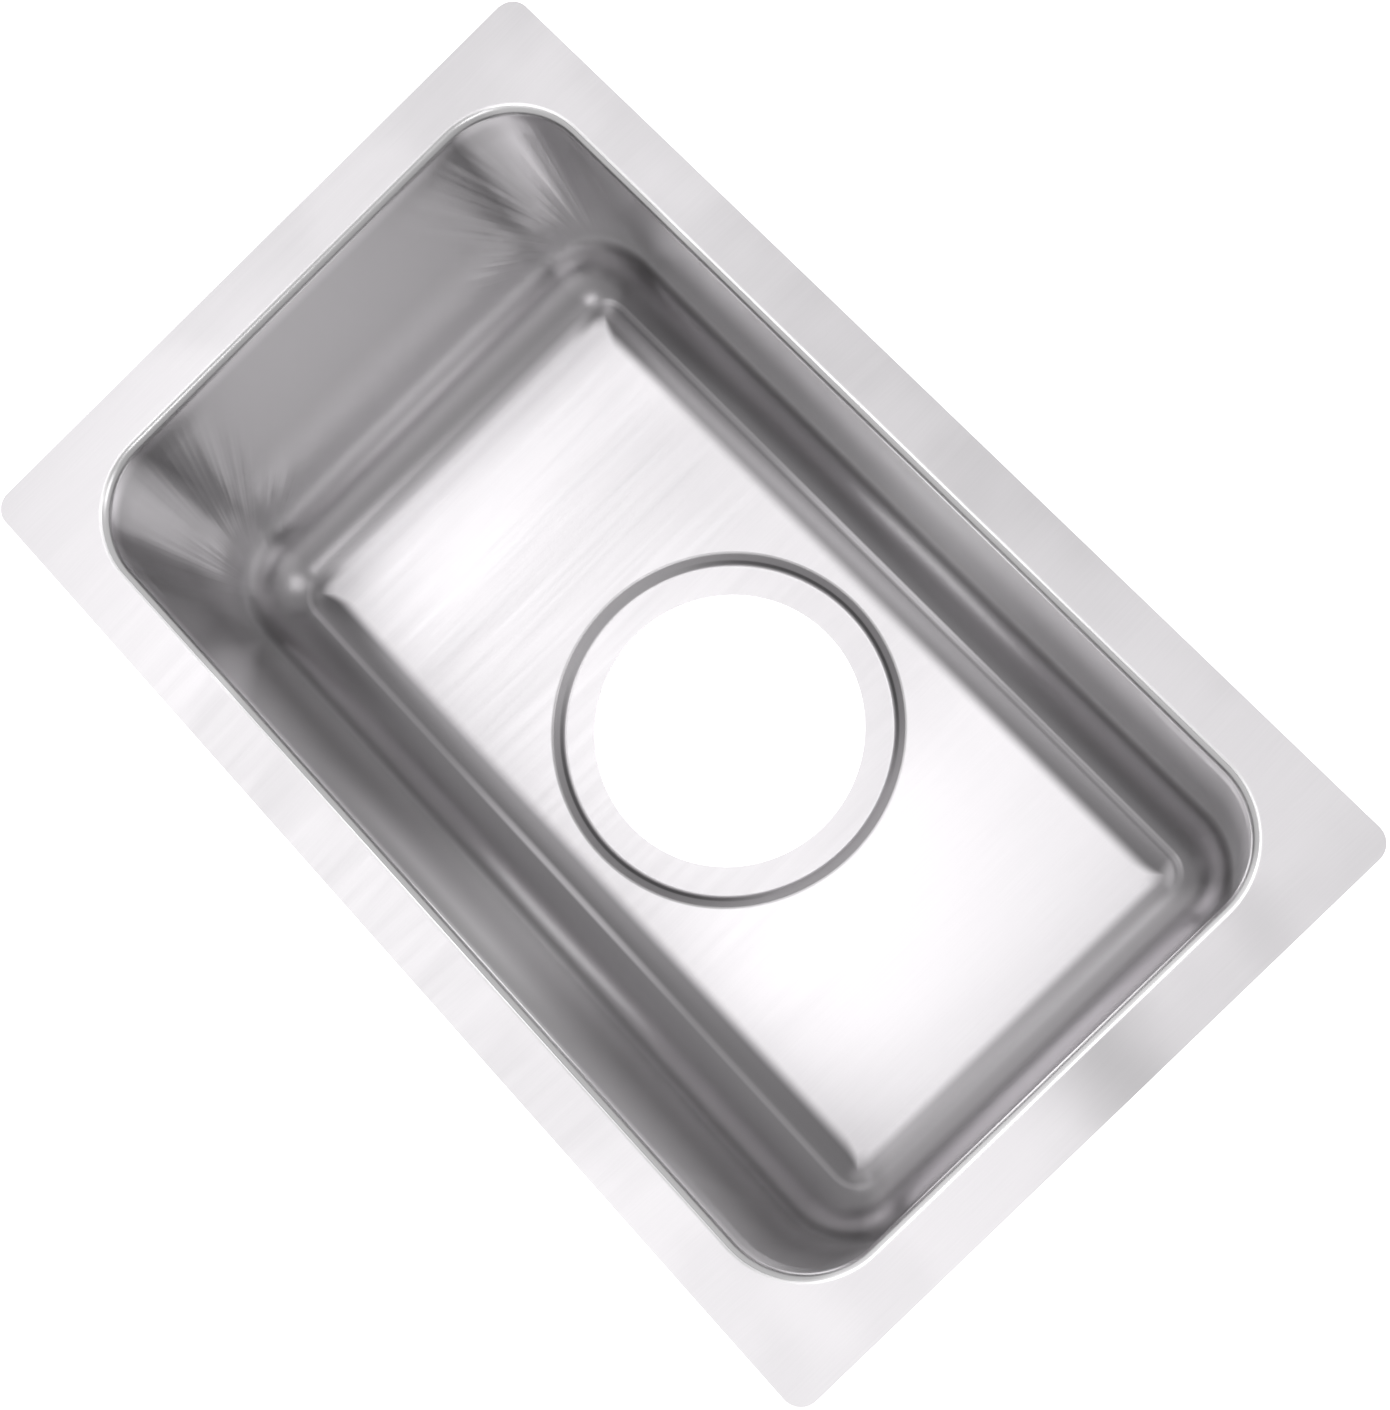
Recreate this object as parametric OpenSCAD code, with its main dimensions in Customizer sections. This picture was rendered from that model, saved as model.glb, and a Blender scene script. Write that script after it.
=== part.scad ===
// Rectangular bar sink, drawn from one stainless sheet, with the fittings it carries underneath.
// The sink stands on its drain seat. X runs along its length, Y across it, and Z points up out of the bowl.

/* [Bowl] */
// Length of the flange, end to end
flange_l = 340; // [300:5:400]
// Width of the flange, front to back
flange_w = 210; // [190:5:260]
// Flange from its edge to the bowl's wall, at the two ends
flange_end_w = 18.5; // [17:0.5:26]
// Flange from its edge to the bowl's wall, along the two sides
flange_side_w = 17.3; // [16.8:0.5:24]
// Radius of the flange's outer corners
flange_corner_r = 6; // [3:1:10]
// Depth of the bowl, from the flange's top to the floor
bowl_depth = 125; // [110:5:180]
// Thickness of the sheet
sheet_t = 1.2; // [0.8:0.1:1.5]
// Radius of the bowl's upright corners, on the inside
corner_r = 25; // [22:1:30]
// Radius where the walls turn into the floor, on the inside
floor_r = 24; // [12:1:26]
// Radius where the walls turn out into the flange, on the show side
rim_r = 3; // [2:0.5:4]

/* [Drain] */
// Diameter of the hole for the waste fitting
drain_hole_d = 88.9; // [60:0.1:92]
// Diameter of the pressed recess at the floor
recess_d = 115; // [108:1:118]
// Depth of the recess below the floor
recess_depth = 3; // [2.5:0.5:5]
// Run of the recess's sloping step, measured along the floor
recess_run = 3.7; // [2:0.1:6]

/* [Undercoat] */
// Thickness of the sprayed coat
coat_t = 0.8; // [0.4:0.1:1]
// Film of primer or glue between the steel and what is stuck to it
bond_t = 0.2; // [0.1:0.05:0.3]
// Bare band between the flange's underside and the top of the coat
coat_top_bare = 10; // [6:1:16]
// Bare margin round the brackets and round the drain recess
coat_margin = 3; // [2:0.5:5]

/* [Sound pads] */
// Thickness of the pads
pad_t = 2; // [1.5:0.5:2.5]
// Gap between a pad's edge and the coat
pad_edge_gap = 0.4; // [0.2:0.1:1]
// Length of the pads on the two side walls
side_pad_l = 104; // [60:2:110]
// Height of the pads on the side and end walls
wall_pad_h = 58; // [40:2:60]
// Length of the pads on the two end walls
end_pad_l = 96; // [60:2:100]
// Length of the pads under the floor, across the sink
floor_pad_l = 96; // [60:2:100]
// Gap between the drain's recess and each floor pad
floor_pad_drain_gap = 9; // [4:1:14]
// Gap between each floor pad and the floor's bend at the end wall
floor_pad_bend_gap = 11.5; // [5:0.5:14]
// Height of the wall pads' lower edges above the floor's underside
wall_pad_up = 30; // [27:1:34]

/* [Rim seal] */
// Height of the seal that the flange presses on the worktop
seal_t = 2.5; // [1.5:0.5:4]
// Width of the seal
seal_w = 4.8; // [3:0.2:5]
// Distance from the flange's edge to the seal
seal_inset = 1; // [0.5:0.5:2]

/* [Clamp brackets] */
// Distance of each clamp from the sink's middle, along its length
clamp_x = 95; // [90:1:105]
// Thickness of the bracket's metal
bracket_t = 1.5; // [1.2:0.1:2]
// Width of the bracket along the wall
bracket_w = 18; // [14:1:22]
// Height of the bracket's web
bracket_h = 30.5; // [29:0.5:36]
// Drop from the flange's top to the bracket's tab
bracket_drop = 32; // [30:0.5:36]
// Depth of the bracket's tab beyond the screw's axis
tab_beyond = 4.2; // [4:0.1:5]
// Inside radius of the bracket's bend
bend_r = 1; // [0.5:0.1:1.2]
// Side of the square nut on the tab
nut_side = 7; // [6.4:0.1:7.4]
// Height of the square nut
nut_h = 3.2; // [2.2:0.1:3.6]

/* [Clamp screws] */
// Diameter of the screw
screw_d = 4; // [3:0.5:4]
// Length of the screw below its head
screw_l = 35; // [34:0.5:36]
// Thread pitch
thread_pitch = 0.7; // [0.5:0.05:0.7]
// Turns from the lowest place of the clamp to the highest
clamp_turns = 35; // [20:1:35]
// Diameter of the screw's head
head_d = 7; // [6:0.1:7.2]
// Height of the screw's head
head_h = 2.6; // [2:0.1:3]
// Width of the slot in the head
slot_w = 1.2; // [0.8:0.1:1.4]
// Depth of the slot in the head
slot_depth = 1.1; // [0.8:0.1:1.4]
// Radial clearance between the screw and what it turns in
screw_fit = 0.08; // [0.05:0.01:0.1]

/* [Clamp arms] */
// Width of the arm
arm_w = 7; // [6.6:0.1:7.2]
// Thickness of the arm's metal
arm_t = 2; // [1.5:0.1:2.4]
// Reach of the arm, from the screw's axis to the outside of its claw
arm_reach = 26; // [22:1:30]
// Height of the claw above the arm's underside
claw_h = 18.9; // [14:0.1:20]
// Depth of the notches between the claw's teeth
tooth_depth = 1.4; // [1:0.1:2]
// Inside radius of the claw's bend
claw_bend_r = 1.5; // [1:0.1:2.5]
// Side of the square guide washer
washer_side = 7; // [6.4:0.1:7.2]
// Thickness of the guide washer
washer_t = 1.2; // [0.8:0.1:1.6]
// Outer diameter of the retaining clip
clip_d = 6.4; // [5.5:0.1:6.8]
// Thickness of the retaining clip
clip_t = 0.6; // [0.5:0.1:0.8]
// Depth of the clip's groove in the screw
groove_depth = 0.4; // [0.3:0.05:0.5]
// Play along the screw between the stacked pieces
play = 0.15; // [0.1:0.05:0.3]
// Gap between the bracket's web and what slides or turns beside it
web_gap = 0.3; // [0.25:0.05:0.5]

/* [Hidden] */
$fn = 96;

CORNERS = ["left_front", "right_front", "left_back", "right_back"];
PLACES = [[-1, -1], [1, -1], [-1, 1], [1, 1]];

// Heights above the surface that the sink stands on
floor_z = recess_depth + sheet_t;
top_z = floor_z + bowl_depth;
under_z = top_z - sheet_t;

// Inside of the bowl at its walls, and the straight lengths between its corner axes
inner_l = flange_l - 2 * flange_end_w;
inner_w = flange_w - 2 * flange_side_w;
straight_l = inner_l - 2 * corner_r;
straight_w = inner_w - 2 * corner_r;
outer_y = inner_w / 2 + sheet_t;
outer_x = inner_l / 2 + sheet_t;

// Floor: its bend leaves a little flat inside the corner's radius, and every flat laps the bend it joins
sheet_lap = 0.5;
floor_bend_r = min(floor_r, corner_r - 2 * sheet_lap);
flat_r = corner_r - floor_bend_r;

// Sound pads
wall_pad_z = floor_z - sheet_t + wall_pad_up;
pad_corner_r = 6;

// Recess: the step's slope decides how far its bend reaches on the underside
recess_r = recess_d / 2;
step_angle = atan(recess_depth / recess_run);
step_shift = sheet_t * tan(step_angle / 2);
recess_rim_r = recess_r + sheet_t;

// Floor pads lie between the recess and the bend at the end wall
floor_pad_in = recess_rim_r + floor_pad_drain_gap;
floor_pad_out = straight_l / 2 + flat_r - floor_pad_bend_gap;

// Clamp: heights from the tab down, at the lowest place of its travel
clamp_travel = thread_pitch * clamp_turns;
axis_off = bracket_t + web_gap + max(arm_w, washer_side, head_d, nut_side) / 2;
tab_top_z = top_z - bracket_drop;
tab_under_z = tab_top_z - bracket_t;
clip_top_z = tab_under_z - clamp_travel - web_gap;
clip_z = clip_top_z - clip_t;
arm_z = clip_z - play - arm_t;
washer_z = arm_z - play - washer_t;
head_top_z = washer_z - play;
hole_r = screw_d / 2 + screw_fit;
groove_r = screw_d / 2 - groove_depth;
tab_corner_r = 3;
clip_seat_gap = 0.05;
clip_mouth = 1.6 * (groove_r + clip_seat_gap);
tip_chamfer = 0.5;
tooth_count = 3;

// Plate outline with rounded corners
module rounded_rect(l, w, r) {
    union() {
        square([l - 2 * r, w], center = true);
        square([l, w - 2 * r], center = true);
        for (sx = [-1, 1])
            for (sy = [-1, 1])
                translate([sx * (l / 2 - r), sy * (w / 2 - r)])
                    circle(r = r);
    }
}

// Quarter of a ring, from the angle start round to start + 90
module quarter_ring(r_in, r_out, start) {
    intersection() {
        difference() {
            circle(r = r_out);
            circle(r = r_in);
        }
        rotate(start)
            square(r_out + 1);
    }
}

// Section of a sheet that follows the bowl, at a depth of d behind the show side and t thick.
// Its origin is a corner axis of the bowl at the flange's top, with the bowl's middle to the left.
module wall_section(d, t, z_top) {
    translate([flat_r - sheet_lap, -bowl_depth - d - t])
        square([sheet_lap, t]);
    translate([flat_r, floor_bend_r - bowl_depth])
        quarter_ring(floor_bend_r + d, floor_bend_r + d + t, -90);
    translate([corner_r + d, floor_bend_r - bowl_depth])
        square([t, z_top - floor_bend_r + bowl_depth]);
}

// The same section with the bend that turns out into the flange
module shell_section() {
    wall_section(0, sheet_t, -rim_r);
    translate([corner_r + rim_r, -rim_r])
        quarter_ring(rim_r - sheet_t, rim_r, 90);
    translate([corner_r + rim_r, -sheet_t])
        square([sheet_lap, sheet_t]);
}

// Carries a section round the bowl: along four straights and four corners
module round_the_bowl() {
    for (a = [0, 180])
        rotate(a) {
            translate([straight_l / 2, straight_w / 2, top_z])
                rotate_extrude(angle = 90)
                    children();
            translate([-straight_l / 2, straight_w / 2, top_z])
                rotate(90)
                    rotate_extrude(angle = 90)
                        children();
            translate([straight_l / 2, straight_w / 2, top_z])
                rotate([90, 0, 0])
                    linear_extrude(straight_w)
                        children();
            translate([-straight_l / 2, straight_w / 2, top_z])
                rotate([90, 0, 90])
                    linear_extrude(straight_l)
                        children();
        }
}

// Flat under the bowl between its floor bends, t thick with its top at z
module floor_plate(z, t) {
    translate([0, 0, z - t])
        linear_extrude(t)
            rounded_rect(straight_l + 2 * flat_r, straight_w + 2 * flat_r, flat_r);
}

// Pressed ring of the drain, from the floor down to the seat of the waste fitting
module drain_ring() {
    translate([0, 0, floor_z])
        rotate_extrude()
            polygon([
                [drain_hole_d / 2, -recess_depth - sheet_t],
                [recess_r - recess_run + step_shift, -recess_depth - sheet_t],
                [recess_r + step_shift, -sheet_t],
                [recess_rim_r, -sheet_t],
                [recess_rim_r, 0],
                [recess_r, 0],
                [recess_r - recess_run, -recess_depth],
                [drain_hole_d / 2, -recess_depth]
            ]);
}

module bowl() {
    color("silver")
        union() {
            round_the_bowl()
                shell_section();
            translate([0, 0, under_z])
                linear_extrude(sheet_t)
                    difference() {
                        rounded_rect(flange_l, flange_w, flange_corner_r);
                        rounded_rect(inner_l + 2 * rim_r, inner_w + 2 * rim_r, corner_r + rim_r);
                    }
            difference() {
                floor_plate(floor_z, sheet_t);
                translate([0, 0, floor_z - 2 * sheet_t])
                    cylinder(r = recess_rim_r - sheet_lap, h = 3 * sheet_t);
            }
            drain_ring();
        }
}

// Bare window for a bracket in the coat on the side wall, with its middle at x
module bracket_window(x) {
    window_l = bracket_w + 2 * coat_margin;
    window_low = tab_top_z - bracket_h - coat_margin;
    window_high = tab_top_z + nut_h + coat_margin;
    translate([x - window_l / 2, outer_y, window_low])
        cube([window_l, bond_t + 2 * coat_t, window_high - window_low]);
}

module undercoat() {
    color("dimgray")
        difference() {
            union() {
                round_the_bowl()
                    wall_section(sheet_t + bond_t, coat_t, -sheet_t - coat_top_bare);
                floor_plate(floor_z - sheet_t - bond_t, coat_t);
            }
            cylinder(r = recess_rim_r + coat_margin, h = 2 * floor_z);
            for (side = [-1, 1]) {
                mirror([0, side < 0 ? 1 : 0, 0]) {
                    bracket_window(-clamp_x);
                    bracket_window(clamp_x);
                }
                on_side_wall(side)
                    wall_pad(side_pad_l, pad_edge_gap);
                on_end_wall(side)
                    wall_pad(end_pad_l, pad_edge_gap);
                floor_pad(side, pad_edge_gap);
            }
        }
}

// Closed strip of foam that the flange presses on the worktop
module rim_seal() {
    outer_l = flange_l - 2 * seal_inset;
    outer_w = flange_w - 2 * seal_inset;
    outer_r = flange_corner_r - seal_inset;
    color("darkslategray")
        translate([0, 0, under_z - seal_t])
            linear_extrude(seal_t)
                difference() {
                    rounded_rect(outer_l, outer_w, outer_r);
                    rounded_rect(outer_l - 2 * seal_w, outer_w - 2 * seal_w, max(outer_r - seal_w, 0.5));
                }
}

// Rubber pad that stands on edge against a wall, l long. The coat's window for it is larger by grow.
module wall_pad(l, grow = 0) {
    color("darkgray")
        translate([0, bond_t - grow, wall_pad_z + wall_pad_h / 2])
            rotate([-90, 0, 0])
                linear_extrude(pad_t + 2 * grow)
                    rounded_rect(l + 2 * grow, wall_pad_h + 2 * grow, pad_corner_r + grow);
}

// Puts a wall pad on the outside of the front or back wall
module on_side_wall(side) {
    mirror([0, side < 0 ? 1 : 0, 0])
        translate([0, outer_y, 0])
            children();
}

// Puts a wall pad on the outside of the left or right wall
module on_end_wall(side) {
    rotate(side < 0 ? 90 : -90)
        translate([0, outer_x, 0])
            children();
}

// Rubber pad under the floor. The coat's window for it is larger by grow.
module floor_pad(side, grow = 0) {
    pad_x = side * (floor_pad_in + floor_pad_out) / 2;
    pad_w = floor_pad_out - floor_pad_in;
    color("darkgray")
        translate([pad_x, 0, floor_z - sheet_t - bond_t - pad_t - grow])
            linear_extrude(pad_t + 2 * grow)
                rounded_rect(pad_w + 2 * grow, floor_pad_l + 2 * grow, pad_corner_r + grow);
}

// Places a clamp's piece at one of the four corners. The piece is drawn on the screw's axis,
// with the wall behind it at negative Y and its arm stowed along negative X.
module at_place(place) {
    mirror([place[0] < 0 ? 1 : 0, 0, 0])
        mirror([0, place[1] < 0 ? 1 : 0, 0])
            translate([clamp_x, outer_y + axis_off, 0])
                children();
}

module bracket() {
    bend_out = bend_r + bracket_t;
    web_low = tab_top_z - bracket_h;
    bend_y = bend_out - axis_off;
    color("gainsboro")
        difference() {
            rotate([90, 0, 90])
                linear_extrude(bracket_w, center = true) {
                    translate([-axis_off, web_low])
                        square([bracket_t, bracket_h - bend_out]);
                    translate([bend_y, tab_top_z - bend_out])
                        quarter_ring(bend_r, bend_out, 90);
                    translate([bend_y, tab_under_z])
                        square([tab_beyond - bend_y, bracket_t]);
                }
            translate([0, 0, tab_under_z - bracket_t])
                cylinder(r = hole_r, h = 3 * bracket_t);
            for (side = [0, 1])
                mirror([side, 0, 0])
                    translate([bracket_w / 2, tab_beyond, tab_under_z - bracket_t])
                        corner_waste(tab_corner_r, 3 * bracket_t);
        }
}

// What is cut off a square corner at the origin, which points to +X and +Y, to round it to radius r
module corner_waste(r, h) {
    translate([-r, -r, 0])
        linear_extrude(h)
            difference() {
                square(r + 1);
                circle(r = r);
            }
}

module weld_nut() {
    color("lightsteelblue")
        difference() {
            translate([-nut_side / 2, -nut_side / 2, tab_top_z])
                cube([nut_side, nut_side, nut_h]);
            translate([0, 0, tab_top_z - nut_h])
                cylinder(r = hole_r, h = 3 * nut_h);
        }
}

module clamp_screw() {
    r = screw_d / 2;
    head_r = head_d / 2;
    head_z = head_top_z - head_h;
    tip_z = head_top_z + screw_l;
    color("lightsteelblue")
        difference() {
            rotate_extrude()
                polygon([
                    [0, head_z],
                    [head_r - tip_chamfer, head_z],
                    [head_r, head_z + tip_chamfer],
                    [head_r, head_top_z],
                    [r, head_top_z],
                    [r, clip_z - clip_seat_gap],
                    [groove_r, clip_z - clip_seat_gap],
                    [groove_r, clip_top_z + clip_seat_gap],
                    [r, clip_top_z + clip_seat_gap],
                    [r, tip_z - tip_chamfer],
                    [r - tip_chamfer, tip_z],
                    [0, tip_z]
                ]);
            translate([-head_d, -slot_w / 2, head_z - slot_depth])
                cube([2 * head_d, slot_w, 2 * slot_depth]);
        }
}

// Spring clip in the screw's groove, open on one side where it is pushed on
module retaining_clip() {
    seat_r = groove_r + clip_seat_gap;
    color("dimgray")
        translate([0, 0, clip_z])
            linear_extrude(clip_t)
                difference() {
                    circle(d = clip_d);
                    circle(r = seat_r);
                    translate([0, -clip_mouth / 2])
                        square([clip_d, clip_mouth]);
                }
}

// Square washer that slides along the bracket's web, so the turning head doesn't drag the arm
module guide_washer() {
    color("lightgray")
        translate([0, 0, washer_z])
            linear_extrude(washer_t)
                difference() {
                    square(washer_side, center = true);
                    circle(r = hole_r);
                }
}

// Bent arm that swings out under the worktop. The hub has one round corner, which clears the web,
// and one square corner, which meets the web and stops the swing.
module swing_arm() {
    hub_r = arm_w / 2;
    bend_out = claw_bend_r + arm_t;
    tooth_pitch = arm_w / tooth_count;
    claw_top = arm_z + claw_h;
    color("lightsteelblue")
        difference() {
            intersection() {
                rotate([90, 0, 0])
                    linear_extrude(arm_w, center = true) {
                        translate([bend_out - arm_reach, arm_z])
                            square([arm_reach - bend_out + hub_r, arm_t]);
                        translate([bend_out - arm_reach, arm_z + bend_out])
                            quarter_ring(claw_bend_r, bend_out, 180);
                        translate([-arm_reach, arm_z + bend_out])
                            square([arm_t, claw_h - bend_out]);
                    }
                translate([0, 0, arm_z])
                    linear_extrude(claw_h) {
                        circle(r = hub_r);
                        translate([-arm_reach, -hub_r])
                            square([arm_reach, arm_w]);
                        square(hub_r);
                    }
            }
            translate([0, 0, arm_z - arm_t])
                cylinder(r = hole_r, h = 3 * arm_t);
            for (n = [1:tooth_count - 1])
                translate([-arm_reach - arm_t, n * tooth_pitch - hub_r, claw_top])
                    rotate([90, 0, 90])
                        linear_extrude(3 * arm_t)
                            polygon([
                                [0, -tooth_depth],
                                [tooth_pitch, tooth_depth],
                                [-tooth_pitch, tooth_depth]
                            ]);
        }
}

bowl();
undercoat();
rim_seal();
on_side_wall(-1) wall_pad(side_pad_l);  // side_pad_front
on_side_wall(1) wall_pad(side_pad_l);  // side_pad_back
on_end_wall(-1) wall_pad(end_pad_l);  // end_pad_left
on_end_wall(1) wall_pad(end_pad_l);  // end_pad_right
floor_pad(-1);  // floor_pad_left
floor_pad(1);  // floor_pad_right
for (i = [0:3]) {
    at_place(PLACES[i]) bracket();
    at_place(PLACES[i]) weld_nut();
    at_place(PLACES[i]) clamp_screw();
    at_place(PLACES[i]) retaining_clip();
    at_place(PLACES[i]) guide_washer();
    at_place(PLACES[i]) swing_arm();
}
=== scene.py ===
"""A bar sink in satin steel, with the coat, pads, seal and four worktop clamps that it carries underneath."""
import logging
import math
from dataclasses import dataclass
from enum import Enum
from typing import Callable, ClassVar, Iterator

import bmesh
import bpy
from mathutils import Matrix, Vector


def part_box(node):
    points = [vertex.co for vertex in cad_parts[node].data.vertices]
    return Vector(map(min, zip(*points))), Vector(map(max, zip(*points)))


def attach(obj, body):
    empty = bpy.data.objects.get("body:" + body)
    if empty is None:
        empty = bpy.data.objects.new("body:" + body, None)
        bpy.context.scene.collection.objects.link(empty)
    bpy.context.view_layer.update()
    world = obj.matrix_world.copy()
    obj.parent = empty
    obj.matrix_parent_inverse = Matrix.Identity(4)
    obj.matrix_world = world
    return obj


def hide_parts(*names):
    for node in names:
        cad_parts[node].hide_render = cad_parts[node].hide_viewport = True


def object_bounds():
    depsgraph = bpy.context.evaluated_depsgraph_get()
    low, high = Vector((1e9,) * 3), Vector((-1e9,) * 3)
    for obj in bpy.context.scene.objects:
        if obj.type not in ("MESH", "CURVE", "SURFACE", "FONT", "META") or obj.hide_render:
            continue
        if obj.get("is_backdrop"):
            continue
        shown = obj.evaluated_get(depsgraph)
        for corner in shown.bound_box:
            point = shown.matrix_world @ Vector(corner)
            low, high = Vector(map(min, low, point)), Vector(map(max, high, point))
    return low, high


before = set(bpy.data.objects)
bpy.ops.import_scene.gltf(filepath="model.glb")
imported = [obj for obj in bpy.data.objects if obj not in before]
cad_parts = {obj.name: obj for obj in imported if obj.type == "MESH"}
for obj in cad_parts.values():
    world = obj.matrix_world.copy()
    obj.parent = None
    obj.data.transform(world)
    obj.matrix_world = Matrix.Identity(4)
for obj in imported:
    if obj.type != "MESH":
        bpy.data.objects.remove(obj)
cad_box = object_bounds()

log = logging.getLogger("bar_sink")

Piece = bpy.types.Object
Material = bpy.types.Material
Socket = bpy.types.NodeSocket
Triple = tuple[float, float, float]
Span = tuple[float, float]
Colour = Triple | Socket
Test = Callable[[Vector], bool]

MM = 0.001
# How far a vertex or an edge may lie from where it is looked for.
NEAR = 0.1 * MM
QUARTER = math.pi / 2
ORIGIN = (0, 0, 0)
SINK_BODY = "sink"
CORNERS = {
    "left_front": (-1, -1),
    "right_front": (1, -1),
    "left_back": (-1, 1),
    "right_back": (1, 1),
}


class Along(Enum):
    """The axis of the sink that a fold turns about."""

    X = Vector((1, 0, 0))
    Y = Vector((0, 1, 0))


class Cut(Enum):
    """What a cutting tool does to a piece."""

    AWAY = "DIFFERENCE"
    KEEP = "INTERSECT"


class Element(Enum):
    """What is selected in a mesh, and the mesh's own list of it."""

    VERT = "verts"
    EDGE = "edges"
    FACE = "faces"


class Bench:
    """Blender's modelling tools, as the few moves that the sink's pieces are made with."""

    MERGE: ClassVar[float] = 0.5e-6

    @staticmethod
    def clear() -> None:
        """Leaves edit mode and deselects everything, because an operator acts on all that is selected."""
        if bpy.context.object and bpy.context.object.mode != "OBJECT":
            bpy.ops.object.mode_set(mode="OBJECT")
        bpy.ops.object.select_all(action="DESELECT")

    @staticmethod
    def take(piece: Piece) -> None:
        """Makes one object the only selected and active one.

        Args:
            piece: The object to work on.
        """
        Bench.clear()
        piece.select_set(True)
        bpy.context.view_layer.objects.active = piece

    @staticmethod
    def edit(piece: Piece) -> None:
        """Opens an object's mesh for editing, with all of it selected.

        Args:
            piece: The object to work on.
        """
        Bench.take(piece)
        bpy.ops.object.mode_set(mode="EDIT")
        bpy.ops.mesh.select_all(action="SELECT")

    @staticmethod
    def pick(kind: Element, wanted: Callable[..., bool]) -> None:
        """Selects what is wanted of the mesh being edited.

        Args:
            kind: What is selected: vertices, edges or faces.
            wanted: Says for each of them whether it is wanted.
        """
        bpy.ops.mesh.select_mode(type=kind.name)
        mesh = bmesh.from_edit_mesh(bpy.context.edit_object.data)
        for item in getattr(mesh, kind.value):
            item.select_set(wanted(item))
        if kind is Element.VERT:
            mesh.select_flush(False)
            mesh.select_flush(True)
        bmesh.update_edit_mesh(bpy.context.edit_object.data)

    @staticmethod
    def pick_verts(wanted: Test) -> None:
        """Selects the vertices whose place is wanted, and the edges between them."""
        Bench.pick(Element.VERT, lambda vert: wanted(vert.co))

    @staticmethod
    def pick_rims(wanted: Test) -> None:
        """Selects the open edges whose middle is wanted.

        Args:
            wanted: Says for a place whether it is wanted.
        """

        def is_wanted(edge: bmesh.types.BMEdge) -> bool:
            """Says whether an edge is open and its middle is wanted."""
            return len(edge.link_faces) < 2 and wanted((edge.verts[0].co + edge.verts[1].co) / 2)

        Bench.pick(Element.EDGE, is_wanted)

    @staticmethod
    def bridge(wanted: Test) -> None:
        """Joins two open rims by a band of faces."""
        Bench.pick_rims(wanted)
        bpy.ops.mesh.bridge_edge_loops()

    @staticmethod
    def start(add: Callable, name: str, **settings: float) -> Piece:
        """Adds a primitive at the origin, names it and opens it for editing, with all of it selected.

        Args:
            add: The operator that adds the primitive.
            name: The object's name.
            settings: The operator's own settings.

        Returns:
            The object.
        """
        Bench.clear()
        add(location=ORIGIN, **settings)
        bpy.ops.object.transform_apply()
        piece = bpy.context.object
        piece.name = piece.data.name = name
        Bench.edit(piece)
        return piece

    @staticmethod
    def shape(scale: Triple | Vector, move: Triple | Vector, centre: Triple = ORIGIN) -> None:
        """Scales what is selected about a centre, and then moves it."""
        bpy.ops.transform.resize(value=scale, center_override=centre)
        bpy.ops.transform.translate(value=move)

    @staticmethod
    def plate(name: str, size: Span, middle: Triple) -> Piece:
        """Lays one flat face and leaves it open for editing.

        Args:
            name: The object's name.
            size: Its sizes along X and Y.
            middle: Its middle.

        Returns:
            The face.
        """
        plate = Bench.start(bpy.ops.mesh.primitive_plane_add, name, size=1)
        Bench.shape((*size, 1), middle)
        return plate

    @staticmethod
    def round_corners(radius: float, steps: int) -> None:
        """Rounds the selected corners of a flat face."""
        bpy.ops.mesh.bevel(offset=radius, offset_type="OFFSET", segments=steps, affect="VERTICES")

    @staticmethod
    def rounded_plate(name: str, size: Span, radius: float, z: float, steps: int) -> Piece:
        """Lays a flat plate with rounded corners, and leaves it open for editing with its one face selected.

        Args:
            name: The object's name.
            size: Its sizes along X and Y.
            radius: Radius of its corners.
            z: Its height.
            steps: Edges round each corner.

        Returns:
            The plate.
        """
        plate = Bench.plate(name, size, (0, 0, z))
        Bench.round_corners(radius, steps)
        bpy.ops.mesh.select_mode(type="FACE")
        bpy.ops.mesh.select_all(action="SELECT")
        return plate

    @staticmethod
    def open_up() -> None:
        """Deletes the selected face but keeps its edges, and leaves edit mode."""
        bpy.ops.mesh.delete(type="ONLY_FACE")
        Bench.clear()

    @staticmethod
    def ring_in(inset: float, drop: float = 0.0) -> None:
        """Insets the selected face by a width and lowers it, which leaves a ring of faces behind."""
        bpy.ops.mesh.inset(thickness=inset, depth=-drop, use_even_offset=True)

    @staticmethod
    def bend_in(radius: float, steps: int, from_flat: bool) -> None:
        """Carries the selected face down round a quarter bend, ring by ring.

        Args:
            radius: Radius of the bend.
            steps: Rings in the bend.
            from_flat: Whether it leads from the flat to the upright, or else from the upright to the flat.
        """
        for step in range(steps):
            before, after = (QUARTER * n / steps for n in (step, step + 1))
            slow = radius * (math.cos(before) - math.cos(after))
            quick = radius * (math.sin(after) - math.sin(before))
            Bench.ring_in(*((quick, slow) if from_flat else (slow, quick)))

    @staticmethod
    def push(move: Triple) -> None:
        """Extrudes the selected faces along a move."""
        bpy.ops.mesh.extrude_region_move(TRANSFORM_OT_translate={"value": move})

    @staticmethod
    def draw_out(move: Triple) -> None:
        """Extrudes the selected edge along a move."""
        bpy.ops.mesh.extrude_edges_move(TRANSFORM_OT_translate={"value": move})

    @staticmethod
    def fold(axis: Along, centre: Triple, steps: int) -> None:
        """Carries the selected edge through a right angle about an axis."""
        bpy.ops.mesh.spin(steps=steps, angle=-QUARTER, center=centre, axis=axis.value)

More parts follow.
